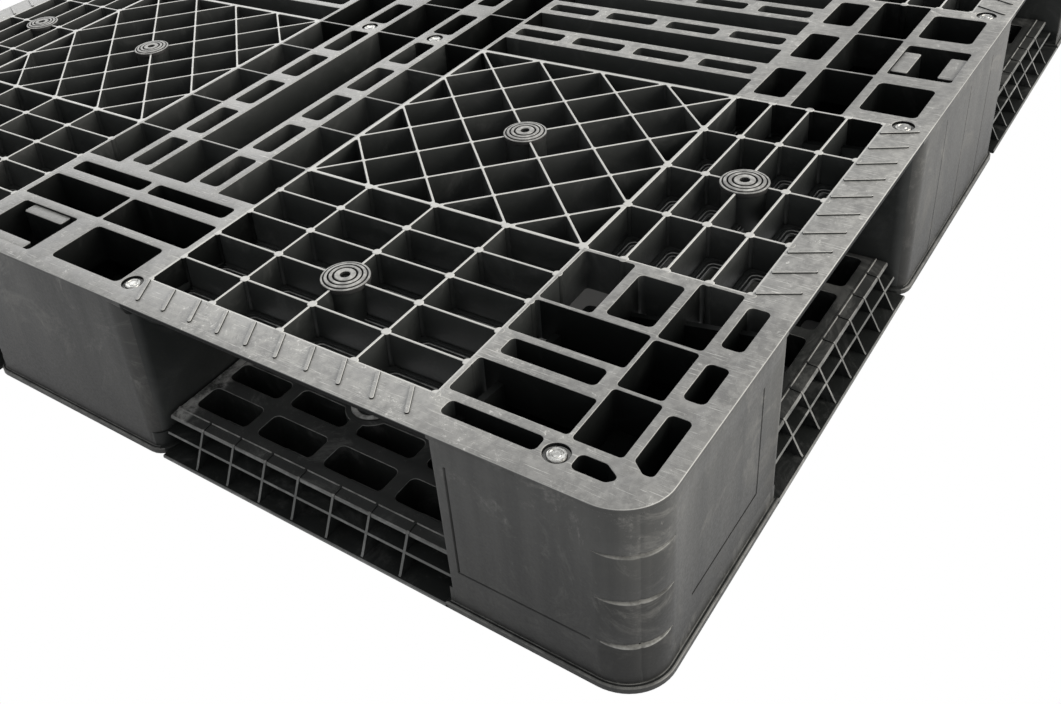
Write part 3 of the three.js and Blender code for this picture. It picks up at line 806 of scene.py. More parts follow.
def corner_leg(quadrant):
    """A leg with arcs round its outer corner, and panel lines on its two outer faces."""
    sx, sy = quadrant
    depth, across = CORNER_LEG
    xs = sorted((sx * HALF_X, sx * (HALF_X - depth)))
    ys = sorted((sy * HALF_Y, sy * (HALF_Y - across)))
    reliefs = [[] for _ in range(8)]
    side_face = 0 if sy < 0 else 2
    end_face = 3 if sx < 0 else 1
    side_forward = sx == sy

    def sink(face, forward, length, u0, u1, *rest):
        """Adds a relief whose places are measured from the outer corner."""
        reliefs[face].append((u0, u1, *rest) if forward else (length - u1, length - u0, *rest))

    for face, forward, length, panel in (
            (side_face, side_forward, depth, SIDE_PANEL), (end_face, not side_forward, across, END_PANEL)):
        line, start, low, step = panel
        sink(face, forward, length, line, line + 0.5, low, PANEL_TOP, 1.4, 0.8)
        sink(face, forward, length, start, line, low - 0.4 * step, low, step, 0.7)
    sink(side_face, side_forward, depth, CORNER_RADIUS + 4, depth - 8, LEG_LOW - 2, RECESS_TOP, 0.5, 1.6)
    corner = {(-1, -1): 0, (1, -1): 1, (1, 1): 2, (-1, 1): 3}[quadrant]
    reliefs[corner + 4] = arcs + [PARTING_LINE]
    radii = [SMALL_ROUND] * 4
    radii[corner] = CORNER_RADIUS
    leg(legs, (*xs, *ys), radii, reliefs)


def middle_radii(sign, on_end):
    """Corner radii of a middle leg, whose outer corners are rounder."""
    outer, inner = MID_LEG_ROUND, INNER_ROUND
    if on_end:
        return [outer, inner, inner, outer] if sign < 0 else [inner, outer, outer, inner]
    return [outer, outer, inner, inner] if sign < 0 else [inner, inner, outer, outer]


for quadrant in QUADRANTS.values():
    corner_leg(quadrant)
FAINT_LINES = (70, SIDE_LEG[1] / 2, SIDE_LEG[1] - 71)
half_end_leg, half_side_leg = END_LEG[1] / 2, SIDE_LEG[1] / 2
for sign in (-1, 1):
    xs = sorted((sign * HALF_X, sign * (HALF_X - END_LEG[0])))
    leg(legs, (*xs, -half_end_leg, half_end_leg), middle_radii(sign, True))
    ys = sorted((sign * HALF_Y, sign * (HALF_Y - SIDE_LEG[0])))
    faint = [[] for _ in range(8)]
    for u in FAINT_LINES:
        faint[0 if sign < 0 else 2].append((u, u + 0.6, LEG_LOW, RECESS_TOP, 0.5, 0.5))
    leg(legs, (-half_side_leg, half_side_leg, *ys), middle_radii(sign, False), faint)
leg(legs, (-half_side_leg, half_side_leg, -half_end_leg, half_end_leg), [INNER_ROUND] * 4)

# ---------------- bottom frame

WINDOW = (152, 458, 147, 412)
WINDOW_CUT = 20
WINDOW_ROUND = 8
HOLE_ROUND = 5
CUSP_ROUND = 2
FRAME_ROWS = [(35.5, 60), (73.5, 94.5)]
LONG_ROW = (113, 140)
FRAME_SHIFT = 6.4
FRAME_BOSS = 22
frame_grommet_spots = {
    "end_field": (grommet_spots["end_field"][0], grommet_spots["end_field"][1] - FRAME_SHIFT),
    "side_field": (grommet_spots["side_field"][0] - FRAME_SHIFT, grommet_spots["side_field"][1]),
}
BAR_HALF = 6
GAP = 0.3
ENTRY_BACK = 27
base = Shells()


def parts(start, end, count):
    """Equal spans between two places, with a bar between each two."""
    step = (end - start) / count
    return [(start + i * step + BAR_HALF, start + (i + 1) * step - BAR_HALF) for i in range(count)]


OUTLINE_STEP = 3
NEAR_BOSS = 1.5 * OUTLINE_STEP


def round_boss(loop, centre):
    """A rectangular hole whose outline is pushed clear of the round boss of a grommet."""
    marked = []
    for point, other in zip(loop, loop[1:] + loop[:1]):
        steps = max(1, round(math.dist(point, other) / OUTLINE_STEP))
        for k in range(steps):
            x, y = (a + (b - a) * k / steps for a, b in zip(point, other))
            share = FRAME_BOSS / math.dist((x, y), centre)
            if share > 1:
                x, y = (c + (p - c) * share for p, c in zip((x, y), centre))
            if share > 1 or k == 0:
                marked.append((x, y, share > 1))
    kept = []
    for i, point in enumerate(marked):
        neighbours = marked[i - 1], marked[(i + 1) % len(marked)]
        if point[2] or min(math.dist(point[:2], other[:2]) for other in neighbours) >= NEAR_BOSS:
            kept.append(point)
    radii = []
    for i, (_, _, on_boss) in enumerate(kept):
        between_two = kept[i - 1][2] and kept[(i + 1) % len(kept)][2]
        radii.append(HOLE_ROUND if not on_boss else 0 if between_two else CUSP_ROUND)
    return fillet([point[:2] for point in kept], radii)


# wheel windows with cut corners, and rows of holes beside them
d0, d1, a0, a1 = WINDOW
window = [
    (d0 + WINDOW_CUT, a0), (d1 - WINDOW_CUT, a0), (d1, a0 + WINDOW_CUT), (d1, a1 - WINDOW_CUT),
    (d1 - WINDOW_CUT, a1), (d0 + WINDOW_CUT, a1), (d0, a1 - WINDOW_CUT), (d0, a0 + WINDOW_CUT)]
frame_holes = four(fillet(window, WINDOW_ROUND))
for row, count in [(row, CELLS) for row in FRAME_ROWS] + [(LONG_ROW, CELLS // 2)]:
    for start, end in parts(CORNER_Y - FRAME_SHIFT, FIELD_END_Y - FRAME_SHIFT, count):
        frame_holes.extend(four(round_boss(rect(*row, start, end), frame_grommet_spots["end_field"])))
    for start, end in parts(CORNER_X - FRAME_SHIFT, FIELD_END_X - FRAME_SHIFT, count):
        end = min(end, SIDE_LEG_START - BAR_HALF)
        frame_holes.extend(four(round_boss(rect(start, end, *row), frame_grommet_spots["side_field"])))

# larger holes in the two beams that cross under the middle
for across in parts(a1 + BAR_HALF, 2 * HALF_Y - a1 - BAR_HALF, 2):
    for depth in parts(END_LEG[0] + BAR_HALF, SIDE_LEG_START - BAR_HALF, 3):
        frame_holes.extend(two_ends(fillet(rect(*depth, *across), HOLE_ROUND)))
for depth in parts(d1 + BAR_HALF, 2 * HALF_X - d1 - BAR_HALF, 2):
    for across in parts(SIDE_LEG[0] + BAR_HALF, END_LEG_START - BAR_HALF, 3):
        frame_holes.extend(two_sides(fillet(rect(*depth, *across), HOLE_ROUND)))

leg_back_end, leg_back_side = END_LEG[0] + GAP, SIDE_LEG[0] + GAP
leg_end, leg_side = END_LEG_START - GAP, SIDE_LEG_START - GAP
corner_d, corner_a = CORNER_LEG[0] + GAP, CORNER_LEG[1] + GAP
frame_outline = around([
    (leg_back_end, HALF_Y), (leg_back_end, leg_end), (ENTRY_BACK, leg_end), (ENTRY_BACK, corner_a),
    (corner_d, corner_a), (corner_d, ENTRY_BACK), (leg_side, ENTRY_BACK), (leg_side, leg_back_side),
    (HALF_X, leg_back_side)])
x, y = half_side_leg + GAP, half_end_leg + GAP
centre_hole = [(-x, -y), (x, -y), (x, y), (-x, y)]
base.slab(frame_outline, frame_holes + [centre_hole], rounded_top(0, FRAME_TOP, 0.9))

# seats under the legs
SEAT_WALL = [
    (0.6, 0), (0, 0.8), (0, 4.6), (0.5, 5.3), (1.2, 5.6), (2.5, 5.7), (3.1, 5.9), (3.1, LEG_SEAT)]
SEAT_OUT = 2.2
seat_d, seat_a = corner_d + SEAT_OUT, corner_a + SEAT_OUT
corner_seat = [(seat_d, 0), (seat_d, seat_a), (0, seat_a)] + outline_corner()
for quadrant in QUADRANTS.values():
    base.slab(placed(corner_seat, quadrant), [], SEAT_WALL)


def middle_seat(x0, x1, y0, y1, radii):
    """The seat of a middle leg on a rectangle, with the corner radii of the leg."""
    base.slab(fillet([(x0, y0), (x1, y0), (x1, y1), (x0, y1)], radii, 6), [], SEAT_WALL)


for sign in (-1, 1):
    xs = sorted((sign * HALF_X, sign * (HALF_X - leg_back_end)))
    y = half_end_leg + GAP + SEAT_OUT
    middle_seat(*xs, -y, y, middle_radii(sign, True))
    ys = sorted((sign * HALF_Y, sign * (HALF_Y - leg_back_side)))
    x = half_side_leg + GAP
    middle_seat(-x, x, *ys, middle_radii(sign, False))
base.slab(centre_hole, [], [(0, 0), (0, LEG_SEAT)])

# open lattice along each fork entry: leaning upright ribs, a middle rib and a top strip
RIB_HALF = 1.0
SLOPE_FOOT, SLOPE_HEAD = 3.4, 17.6
STRIP_LOW, STRIP_BEND, STRIP_HIGH = 29.4, 31.4, 31.9
MIDDLE_LOW, MIDDLE_HIGH = 18.2, 19.8


def slope(height):
    """Depth of the leaning ribs' front edge at a height."""
    share = (height - SKIN) / (FRAME_TOP - SKIN)
    return SLOPE_FOOT + (SLOPE_HEAD - SLOPE_FOOT) * share


entry_outlines = {
    "skin": [(0.8, 0), (0, 0.8), (0, 2.6), (0.8, SKIN), (ENTRY_BACK, SKIN), (ENTRY_BACK, 0)],
    "middle": [
        (slope(MIDDLE_LOW) - 0.5, MIDDLE_LOW), (slope(MIDDLE_HIGH) - 0.5, MIDDLE_HIGH),
        (ENTRY_BACK + 0.5, MIDDLE_HIGH), (ENTRY_BACK + 0.5, MIDDLE_LOW),
    ],
    "strip": [
        (slope(STRIP_LOW) + 0.6, STRIP_LOW), (slope(STRIP_BEND), STRIP_BEND),
        (slope(STRIP_HIGH) + 0.6, STRIP_HIGH), (ENTRY_BACK - 1.4, FRAME_TOP - 0.5),
        (ENTRY_BACK - 0.8, FRAME_TOP + 0.4), (ENTRY_BACK + 0.4, FRAME_TOP + 0.4),
        (ENTRY_BACK + 0.8, FRAME_TOP - 0.4), (ENTRY_BACK + 0.8, STRIP_LOW),
    ],
}
RIB_OUTLINE = [
    (SLOPE_FOOT - 1.6, SKIN - 0.3), (SLOPE_FOOT, SKIN + 1.8), (slope(STRIP_BEND) - 0.5, STRIP_BEND),
    (slope(FRAME_TOP), FRAME_TOP - 0.3), (ENTRY_BACK - 1.6, FRAME_TOP + 0.5),
    (ENTRY_BACK - 0.5, FRAME_TOP + 0.4), (ENTRY_BACK, FRAME_TOP - 1), (ENTRY_BACK + 0.5, SKIN - 0.3),
]
for quadrant in QUADRANTS.values():
    for along, start, end, first, step in (
            ("y", corner_a, leg_end, CORNER_Y - FRAME_SHIFT, PITCH_Y / 2),
            ("x", corner_d, leg_side, CORNER_X - FRAME_SHIFT, PITCH_X / 2)):
        for outline in entry_outlines.values():
            entry_bar(base, outline, along, quadrant, start, end)
        place = first + step
        while place < end - step / 2:
            entry_bar(base, RIB_OUTLINE, along, quadrant, place - RIB_HALF, place + RIB_HALF)
            place += step

# ---------------- grommets and bolts

# closed profiles of (radius, height), where the heights of a grommet start from the face it lies in
GROMMET_GROOVE = 0.4
GROMMET_PROFILE = [
    (0, -31), (7.4, -31), (7.4, -3), (18.4, -3), (GROMMET_RADIUS, -2.6), (GROMMET_RADIUS, 0.7),
    (18.3, 1.1), (17.2, 1.1), (16.9, GROMMET_GROOVE), (16.2, GROMMET_GROOVE),
    (15.9, 1.5), (15.5, 1.8), (13.6, 2.0), (13.2, GROMMET_GROOVE), (12.4, GROMMET_GROOVE),
    (12.2, 2.0), (11.8, 2.3), (10.1, 2.4), (9.7, 2.1), (9.3, GROMMET_GROOVE), (8.3, GROMMET_GROOVE),
    (8.1, 2.2), (7.6, 2.6), (4.4, 2.6), (3.9, 2.2), (3.7, GROMMET_GROOVE), (0, GROMMET_GROOVE),
]
FRAME_GROMMET_DISC = [
    (3.4, 31), (3.4, 0.3), (18.4, 0.3), (GROMMET_RADIUS, 0.8), (GROMMET_RADIUS, 4), (7.4, 4), (7.4, 31)]
FRAME_GROMMET_RING = [(12.4, 31.5), (17, 31.5), (17, 34.6), (16.4, 35.2), (13, 35.2), (12.4, 34.6)]
BOLT_SEAT = floor_level - 0.1
BOLT_FOOT = 6
BOLT_HEAD = [
    (6.0, 0), (6.3, 0.4), (6.3, 1.2), (5.9, 1.8), (5.0, 2.2), (4.4, 2.1), (4.1, 1.6), (2.9, 1.5),
    (2.5, 2), (0, 2.1)]
BOLT_PROFILE = [(0, BOLT_FOOT), (4, BOLT_FOOT), (4, BOLT_SEAT)]
BOLT_PROFILE += [(radius, BOLT_SEAT + height) for radius, height in BOLT_HEAD]


def turned(place, *profiles, sides):
    """Profiles turned about one upright line."""
    shells = Shells()
    for profile in profiles:
        shells.lathe(*place, profile, sides)
    return shells


# ---------------- materials

class Nodes:
    """Short calls that add and link shader nodes."""

    def __init__(self, name):
        self.material = bpy.data.materials.new(name)
        self.material.use_nodes = True
        self.tree = self.material.node_tree
        self.tree.nodes.clear()
        self.output = self.tree.nodes.new("ShaderNodeOutputMaterial")
        self.shader = self.tree.nodes.new("ShaderNodeBsdfPrincipled")
        self.link(self.shader.outputs[0], self.output.inputs[0])
        self.point = self.add("ShaderNodeTexCoord").outputs["Object"]
        self.normal = self.add("ShaderNodeNewGeometry").outputs["Normal"]
        self.colour = None

    def add(self, kind, **settings):
        node = self.tree.nodes.new(kind)
        for key, value in settings.items():
            setattr(node, key, value)
        return node

    def link(self, source, target):
        self.tree.links.new(source, target)

    def put(self, value, target):
        """Links an output to an input, or sets the input to a number or a colour."""
        if hasattr(value, "is_output"):
            self.link(value, target)
        else:
            target.default_value = value

    def math(self, operation, a, b=0.0):
        node = self.add("ShaderNodeMath", operation=operation)
        self.put(a, node.inputs[0])
        self.put(b, node.inputs[1])
        return node.outputs[0]

    def times(self, a, b):
        return self.math("MULTIPLY", a, b)

    def axes(self, vector):
        """The X, Y and Z of a vector."""
        node = self.add("ShaderNodeSeparateXYZ")
        self.link(vector, node.inputs[0])
        return node.outputs

    def from_middle(self):
        """How far a point is from the middle of the pallet, along X and along Y."""
        return [self.math("ABSOLUTE", part) for part in list(self.axes(self.point))[:2]]

    def scaled(self, scale, turn=(0, 0, 0)):
        """The point in a stretched and turned space."""
        node = self.add("ShaderNodeMapping")
        self.link(self.point, node.inputs[0])
        node.inputs["Rotation"].default_value = turn
        node.inputs["Scale"].default_value = scale
        return node.outputs[0]

    def noise(self, scale, detail=4, rough=0.55, vector=None, distortion=0.0):
        node = self.add("ShaderNodeTexNoise")
        self.link(vector or self.point, node.inputs["Vector"])
        node.inputs["Scale"].default_value = scale
        node.inputs["Detail"].default_value = detail
        node.inputs["Roughness"].default_value = rough
        node.inputs["Distortion"].default_value = distortion
        return node.outputs[0]

    def step(self, value, low, high, start=0.0, end=1.0):
        """A smooth step from start to end, as a value goes from low to high."""
        node = self.add("ShaderNodeMapRange", interpolation_type="SMOOTHSTEP")
        limits = {"Value": value, "From Min": low, "From Max": high, "To Min": start, "To Max": end}
        for key, limit in limits.items():
            self.put(limit, node.inputs[key])
        return node.outputs[0]

    def within(self, value, low, high, soft=0.001):
        """1 between two limits and 0 outside them."""
        return self.times(self.step(value, low - soft, low), self.step(value, high, high + soft, 1.0, 0.0))

    def mix(self, share, a, b):
        """A colour between two, which are outputs or (red, green, blue)."""
        node = self.add("ShaderNodeMix", data_type="RGBA")
        self.put(share, node.inputs[0])
        for value, target in ((a, node.inputs[6]), (b, node.inputs[7])):
            self.put((*value, 1) if isinstance(value, tuple) else value, target)
        return node.outputs[2]

    def paint(self, shade, mask, share=1.0):
        """Covers the colour so far with a shade where a mask is above 0."""
        self.colour = self.mix(self.times(mask, share), self.colour, shade)

    def finish(self, rough, height, strength, distance):
        """Links the colour so far, the roughness and a bump to the shader."""
        bump = self.add("ShaderNodeBump")
        bump.inputs["Strength"].default_value = strength
        bump.inputs["Distance"].default_value = distance
        self.link(height, bump.inputs["Height"])
        self.link(bump.outputs[0], self.shader.inputs["Normal"])
        self.link(self.colour, self.shader.inputs["Base Color"])
        self.link(rough, self.shader.inputs["Roughness"])
        return self.material


BLACK = (0.0, 0.0, 0.0)
DARK_GREY = (0.03, 0.03, 0.03)

# spans of the open lattice fields and lips, in metres from the middle of the pallet
FIELD_X = ((HALF_X - FIELD_END_X) * MM, (HALF_X - CORNER_X) * MM)
FIELD_Y = ((HALF_Y - FIELD_END_Y) * MM, (HALF_Y - CORNER_Y) * MM)
INSIDE_END_LIP = (FIELD_X[0], (HALF_X - END_LIP) * MM)
INSIDE_SIDE_LIP = (FIELD_Y[0], (HALF_Y - SIDE_LIP) * MM)


def scratches(n):
    """Fine straight scratches in several directions, from 0 to 1."""
    total = None
    for turn, scale, limit in ((0.35, 800, 0.635), (1.15, 1000, 0.625), (2.2, 900, 0.625), (2.75, 700, 0.64)):
        stretched = n.scaled((scale, 34, 34), (0, 0, turn))
        lines = n.step(n.noise(1.0, 3, 0.6, stretched, 0.15), limit, limit + 0.09)
        total = lines if total is None else n.math("MAXIMUM", total, lines)
    return total


def lattice_mask(n, x, y):
    """1 over the open lattice fields, whose narrow ribs are worn the palest."""
    end_part = n.times(n.within(x, *INSIDE_END_LIP), n.within(y, *FIELD_Y))
    side_part = n.times(n.within(y, *INSIDE_SIDE_LIP), n.within(x, *FIELD_X))
    return n.math("MAXIMUM", end_part, side_part)


def lip_mask(n, x, y):
    """1 over the lattice fields and the lips beside them, which are paler than the blocks."""
    return n.math("MAXIMUM", n.within(y, *FIELD_Y, 0.03), n.within(x, *FIELD_X, 0.03))


def worn_top_and_sheen(name, shades, scratch, rib_shade, edge_shade):
    """Scuffed grey plastic with fine scratches, pale specks and paler edges and ribs. Its grey is partly wear
    and partly a painted sheen of light off the top.
    """
    n = Nodes(name)
    up = n.axes(n.normal)[2]
    x, y = n.from_middle()
    patches = n.noise(24, 7, 0.7, None, 0.8)
    fine = n.noise(150, 5, 0.72)
    lines = scratches(n)
    scuffs = n.step(n.noise(20, 8, 0.8, None, 1.4), 0.5, 0.62)
    specks = n.step(n.noise(260, 4, 0.8, None, 0.6), 0.56, 0.64)
    n.colour = n.mix(n.step(patches, 0.28, 0.7), shades[0], shades[1])
    n.paint(shades[2], n.step(fine, 0.4, 0.64), 0.6)
    n.paint(shades[3], scuffs, 0.35)
    n.paint(scratch, lines, 0.6)
    n.paint(scratch, n.times(specks, scuffs), 0.9)
    n.paint(rib_shade, lattice_mask(n, x, y), 0.8)
    n.paint(edge_shade, n.times(n.step(up, 0.9, 0.985, 1.0, 0.0), n.step(up, 0.35, 0.6)), 0.5)
    # the top is made darker outside the lattice fields and lips
    n.paint(DARK_GREY, n.math("SUBTRACT", 1.0, lip_mask(n, x, y)), 0.24)
    # a painted shade on faces of the top that slope steeply, such as the flanks of the slip bars
    n.paint(DARK_GREY, n.step(up, 0.3, 0.6, 1.0, 0.0))
    rough = n.math("ADD", n.step(fine, 0.2, 0.8, 0.36, 0.56), n.times(scuffs, 0.1))
    height = n.math("ADD", n.times(n.noise(900, 3, 0.6), 0.3), n.times(lines, -0.6))
    return n.finish(rough, n.math("ADD", height, n.times(fine, 0.8)), 0.5, 0.0005)


def moulded(name, shades, marks, mark_share, specular, streaks=0.0, low_painted_shade=0.0, ledge=None, pale=None,
            rub=None):
    """Dark moulded plastic with cloudy patches, scuffs and a fine grain. It can have upright streaks,
    a painted shade towards the floor, a rubbed span of |Y|, and a pale shade where small ledges and
    edges slope, between two upward parts of the normal."""
    n = Nodes(name)
    patches = n.noise(7, 5, 0.6, None, 0.6)
    grain = n.noise(500, 3, 0.6)
    scuffs = n.step(n.noise(12, 9, 0.8, None, 2.0), 0.5, 0.66)
    dust = n.times(n.step(n.noise(190, 5, 0.8), 0.6, 0.7), n.step(patches, 0.4, 0.6, 0.2, 1.0))
    thin = n.step(n.noise(1.0, 4, 0.7, n.scaled((110, 110, 13), (0.35, 0.2, 0)), 0.6), 0.56, 0.66)
    n.colour = n.mix(n.step(patches, 0.32, 0.7), shades[0], shades[1])
    n.paint(marks, scuffs, mark_share)
    n.paint(marks, n.math("MAXIMUM", n.times(thin, scuffs), dust), mark_share)
    if streaks:
        n.paint(marks, n.step(n.noise(1.0, 3, 0.6, n.scaled((55, 55, 1.2))), 0.35, 0.7), streaks)
    # a painted shade that darkens the plastic towards the floor
    if low_painted_shade:
        n.paint(BLACK, n.step(n.axes(n.point)[2], 0.0, 0.13, 1.0, 0.0), low_painted_shade)
    if rub:
        beside_leg = n.within(n.from_middle()[1], *rub, 0.007)
        n.paint(marks, n.times(beside_leg, n.step(n.noise(38, 6, 0.75), 0.4, 0.62)), 0.8)
    if pale:
        sloping = n.within(n.axes(n.normal)[2], *ledge, 0.12)
        n.paint(pale, n.times(sloping, n.step(n.noise(60, 4, 0.7), 0.35, 0.6, 0.35, 1.0)))
    n.shader.inputs["Specular IOR Level"].default_value = specular
    rough = n.math("ADD", n.step(grain, 0.2, 0.8, 0.40, 0.52), n.times(scuffs, 0.1))
    height = n.math("ADD", n.times(grain, 0.35), n.times(n.noise(45, 4, 0.6), 0.8))
    return n.finish(rough, height, 0.35, 0.0005)


def rubber(name):
    """Rubber that is scuffed pale where it faces up."""
    n = Nodes(name)
    patches = n.noise(160, 4, 0.6)
    scuffed = n.mix(n.step(patches, 0.35, 0.7), (0.15, 0.15, 0.145), (0.36, 0.36, 0.347))
    n.colour = n.mix(n.step(n.axes(n.normal)[2], 0.3, 0.95), (0.008, 0.008, 0.008), scuffed)
    return n.finish(n.step(patches, 0.2, 0.8, 0.5, 0.7), n.noise(700, 3, 0.6), 0.3, 0.0003)


def steel(name):
    """Bright zinc plating with dull spots."""
    n = Nodes(name)
    n.shader.inputs["Metallic"].default_value = 1.0
    patches = n.noise(300, 5, 0.65)
    n.colour = n.mix(n.step(patches, 0.3, 0.75), (0.22, 0.22, 0.21), (0.62, 0.62, 0.6))
    return n.finish(n.step(patches, 0.3, 0.7, 0.28, 0.5), n.noise(900, 3, 0.6), 0.4, 0.0004)


SIDE_SHADES = ((0.024, 0.0245, 0.024), (0.04, 0.0405, 0.039))
SIDE_MARKS = (0.15, 0.148, 0.14)
# tones and marks of the darker copies, which are painted shade in insides and hollows
DARK_SHADES = ((0.006, 0.0068, 0.0065), (0.011, 0.012, 0.0117))
DARK_MARKS = (0.05, 0.051, 0.05)
RUBBED_SPAN = ((half_end_leg + 1) * MM, (half_end_leg + 12) * MM)  # beside the middle legs of the ends

# the greys of the top are partly wear and partly a painted sheen of light off the top faces
top_material = worn_top_and_sheen(
    "deck_plastic_worn_and_sheen", ((0.12, 0.12, 0.117), (0.18, 0.18, 0.174), (0.27, 0.27, 0.26), (0.34, 0.34, 0.325)),
    scratch=(0.55, 0.55, 0.53), rib_shade=(0.42, 0.42, 0.405), edge_shade=(0.40, 0.40, 0.385))
side_material = moulded("deck_plastic_side", SIDE_SHADES, SIDE_MARKS, 0.4, 0.2, streaks=0.1, low_painted_shade=0.7)
round_material = moulded(
    "deck_plastic_round", SIDE_SHADES, SIDE_MARKS, 0.5, 0.2, streaks=0.1, low_painted_shade=0.7,
    ledge=(0.3, 1.2), pale=(0.2, 0.2, 0.19))
# a darker copy of the plastic: painted shade on inside walls and on the sides of the fork tunnels
inner_painted_shade_material = moulded(
    "deck_plastic_inside_painted_shade", ((0.014, 0.0155, 0.015), (0.023, 0.0245, 0.024)), DARK_MARKS, 0.3, 0.22,
    ledge=(0.4, 0.85), pale=(0.25, 0.25, 0.243))
# the darkest copy of the plastic: painted shade in wells, leg hollows, lip faces over the fork openings and
# grommet grooves
hollow_painted_shade_material = moulded(
    "deck_plastic_hollow_painted_shade", ((0.003, 0.0034, 0.0033), (0.006, 0.0066, 0.0065)), DARK_MARKS, 0.08, 0.05)
seat_material = moulded(
    "frame_plastic_seat", SIDE_SHADES, SIDE_MARKS, 0.5, 0.2, low_painted_shade=0.4,
    ledge=(0.25, 1.2), pale=(0.1, 0.1, 0.096))
# a lighter copy of the plastic: painted light on the outward faces of the frame along the fork entries
frame_painted_light_material = moulded(
    "frame_plastic_edges_painted_light", ((0.04, 0.042, 0.041), (0.075, 0.077, 0.075)), (0.2, 0.2, 0.195), 0.5, 0.3)
# painted shade on the inside of the frame
frame_inner_painted_shade_material = moulded("frame_plastic_inside_painted_shade", DARK_SHADES, DARK_MARKS, 0.4, 0.12)
frame_top_material = moulded(
    "frame_plastic_top", ((0.017, 0.018, 0.0177), (0.032, 0.033, 0.0325)), (0.3, 0.3, 0.29), 0.12, 0.1,
    ledge=(0.3, 0.85), pale=(0.15, 0.15, 0.146), rub=RUBBED_SPAN)
rubber_material = rubber("grommet_rubber_scuffed")
steel_material = steel("zinc_steel_scuffed")

# ---------------- pieces

# A choice gives the number of a face's material from the middle of the face and its normal.

NEAR_LEG = 2
WORN_AND_SHEEN_DEPTH = 3.2  # the floors of the counterbores get the worn top with its painted sheen too
LIP_BAND = 9
WALL_BAND = 7
SEAT_BAND = 4


def over_leg(place, margin=NEAR_LEG):
    """Whether a place is over the outline of a leg, which grows by the margin."""
    depth, across = HALF_X - abs(place.x), HALF_Y - abs(place.y)
    corner = depth < CORNER_LEG[0] + margin and across < CORNER_LEG[1] + margin
    end = depth < END_LEG[0] + margin and across > END_LEG_START - margin
    side = across < SIDE_LEG[0] + margin and depth > SIDE_LEG_START - margin
    centre = abs(place.x) < half_side_leg + margin and abs(place.y) < half_end_leg + margin
    return corner or end or side or centre


def outward_share(middle, normal):
    """How squarely a face looks away from the pallet, and how near it is to the outer wall."""
    depth, across = HALF_X - abs(middle.x), HALF_Y - abs(middle.y)
    facing = [math.copysign(part, part * place) for part, place in zip(normal[:2], middle[:2])]
    if depth < CORNER_RADIUS and across < CORNER_RADIUS:
        return math.hypot(*facing) if min(facing) > -0.1 else 0, 0
    return facing[0] if depth < across else facing[1], min(depth, across)


def deck_choice(middle, normal):
    """Worn top with a painted sheen, outer side, inside with a painted shade, or the deeper painted shade of
    a well or of a lip's face over a fork opening.
    """
    worn, side, dark, well = range(4)
    if middle.z > TOP - WORN_AND_SHEEN_DEPTH and normal.z > 0.2:
        return worn
    outward, away = outward_share(middle, normal)
    if away < LIP_BAND and outward > 0.3:
        return side if over_leg(middle) else well
    return well if over_leg(middle) else dark


LEG_CENTRES = (
    (HALF_X - CORNER_LEG[0] / 2, HALF_Y - CORNER_LEG[1] / 2), (HALF_X - END_LEG[0] / 2, 0),
    (0, HALF_Y - SIDE_LEG[0] / 2), (0, 0))


def leg_choice(middle, normal):
    """Outer side, side of a fork tunnel with a painted shade, hollow inside with a deeper painted shade, or
    round corner.
    """
    side, tunnel, hollow, corner = range(4)
    depth, across = HALF_X - abs(middle.x), HALF_Y - abs(middle.y)
    if max(depth, across) < CORNER_RADIUS:
        radius = math.hypot(CORNER_RADIUS - depth, CORNER_RADIUS - across)
        return corner if radius > CORNER_RADIUS - LEG_WALL - 0.7 else hollow
    outward, away = outward_share(middle, normal)
    if away < WALL_BAND and outward > 0.25:
        return side
    place = (abs(middle.x), abs(middle.y))
    x, y = min(LEG_CENTRES, key=lambda centre: math.dist(centre, place))
    from_centre = Vector((middle.x - math.copysign(x, middle.x), middle.y - math.copysign(y, middle.y)))
    return hollow if normal.z > 0.5 or from_centre.dot(normal.to_2d()) < 0 else tunnel


def frame_choice(middle, normal):
    """Rib edges with a painted light, inside with a painted shade, flat top or the outside of a leg seat."""
    edge, dark, flat_top, seat = range(4)
    outward, away = outward_share(middle, normal)
    if middle.z > STRIP_LOW and normal.z > 0.3:
        return flat_top if away < LONG_ROW[0] else dark
    if away < SEAT_BAND and outward > 0.2 and over_leg(middle, SEAT_BAND):
        return seat
    return edge if away < ENTRY_BACK - 3 and outward > 0.4 and not over_leg(middle) else dark


def grommet_choice(middle, normal):
    """Scuffed rubber, or a painted shade on the bottom of a groove or of the hole in the middle."""
    scuffed, dark = range(2)
    return dark if normal.z > 0.9 and abs(middle.z - TOP - GROMMET_GROOVE) < 0.1 else scuffed


deck_materials = [top_material, side_material, inner_painted_shade_material, hollow_painted_shade_material]
leg_materials = [side_material, inner_painted_shade_material, hollow_painted_shade_material, round_material]
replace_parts(make_object("deck_moulding", deck, deck_materials, deck_choice), "top_deck")
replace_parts(make_object("deck_legs", legs, leg_materials, leg_choice), "top_deck")
base_materials = [frame_painted_light_material, frame_inner_painted_shade_material, frame_top_material, seat_material]
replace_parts(make_object("base_frame", base, base_materials, frame_choice), "bottom_frame")

